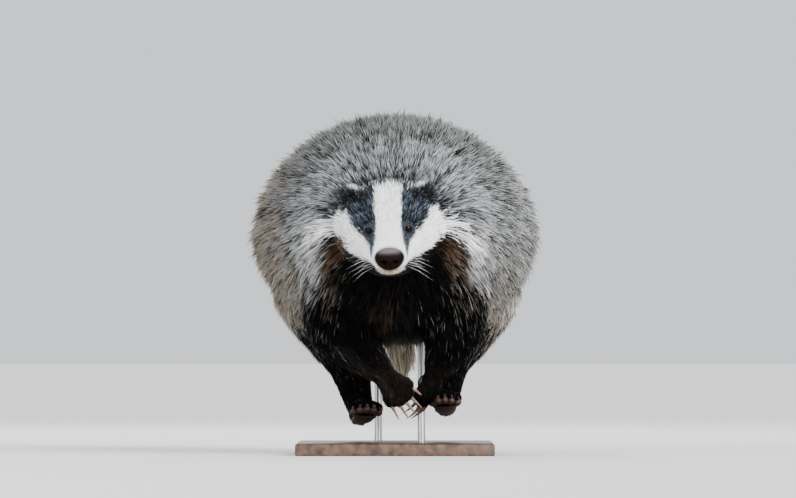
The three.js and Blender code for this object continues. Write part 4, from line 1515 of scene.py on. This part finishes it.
bpy.ops.mesh.primitive_cube_add(size=1, location=(0, 0, BASE[2] / 2 * MM))
base = new_piece("base")
base.scale = Vector(BASE) * MM
apply_place(base)
bpy.ops.object.mode_set(mode="EDIT")
shape = bmesh.from_edit_mesh(base.data)
for edge in shape.edges:
    edge.select_set(abs(edge.verts[0].co.z - edge.verts[1].co.z) > 1 * MM)
bmesh.update_edit_mesh(base.data)
bpy.ops.mesh.bevel(offset=BASE_CORNER * MM, segments=12)
bpy.ops.object.mode_set(mode="OBJECT")
modify(base, "BEVEL", width=BASE_EDGE * MM, segments=4, limit_method="ANGLE")
select_only(base)
bpy.ops.object.shade_smooth_by_angle(angle=math.radians(30))
wood = grained_material("dark_wood", (46, 32, 24), (84, 60, 44), 9, 0.42, 0.25, 0.2 * MM, (14, 1, 14))
base.data.materials.append(wood)
steel = grained_material(
    "brushed_steel", (150, 152, 156), (186, 188, 192), 40, 0.32, 0.1, 0.05 * MM, (20, 20, 1)
)
set_shader(steel, "Metallic", 1)
rods = {}
for name, ((x, y), (low, high)) in RODS.items():
    bpy.ops.mesh.primitive_cylinder_add(
        vertices=ROD_SIDES, radius=ROD_RADIUS * MM, depth=(high - low) * MM,
        location=Vector((x, y, (low + high) / 2)) * MM,
    )
    rod = new_piece(f"rod_{name}")
    apply_place(rod)
    bpy.ops.object.shade_smooth_by_angle(angle=math.radians(30))
    rod.data.materials.append(steel)
    rods[name] = rod
print("stand pieces:", 1 + len(rods))

# %% [markdown]
# ## Hand over
#
# Every piece rides with the animal's one body, and the pieces that stand for a solid take its place.
# The skin takes the place of all the flesh. The coat, the pads and the whiskers are extras.

# %% Hand over to the frame
FLESH = ["head", "jaw", "neck", "torso", "tail", *LEGS, *PAWS]
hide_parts(*FLESH)
for word in SIDES:
    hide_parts(f"eye_{word}")
    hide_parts(f"ear_{word}")
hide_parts("nose")
for node, claw in claws.items():
    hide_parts(node)
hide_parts("stand_base")
for name, rod in rods.items():
    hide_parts(f"stand_rod_{name}")
pieces = [skin, nose, base, whiskers, *coat]
for group in (eyes, ears, claws, pads, rods):
    pieces += group.values()
for piece in pieces:
    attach(piece, "root")
print("pieces handed over:", len(pieces))

# %% [markdown]
# ## Measure and finish
#
# The box of the dressed animal is printed beside the box of the solids.

# %% Finish
model_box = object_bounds()
sizes = {"solids": [list(corner) for corner in solid_box], "model": [list(corner) for corner in model_box]}
for name, (low, high) in sizes.items():
    print(name, "size in mm:", [round((b - a) / MM, 1) for a, b in zip(low, high)])
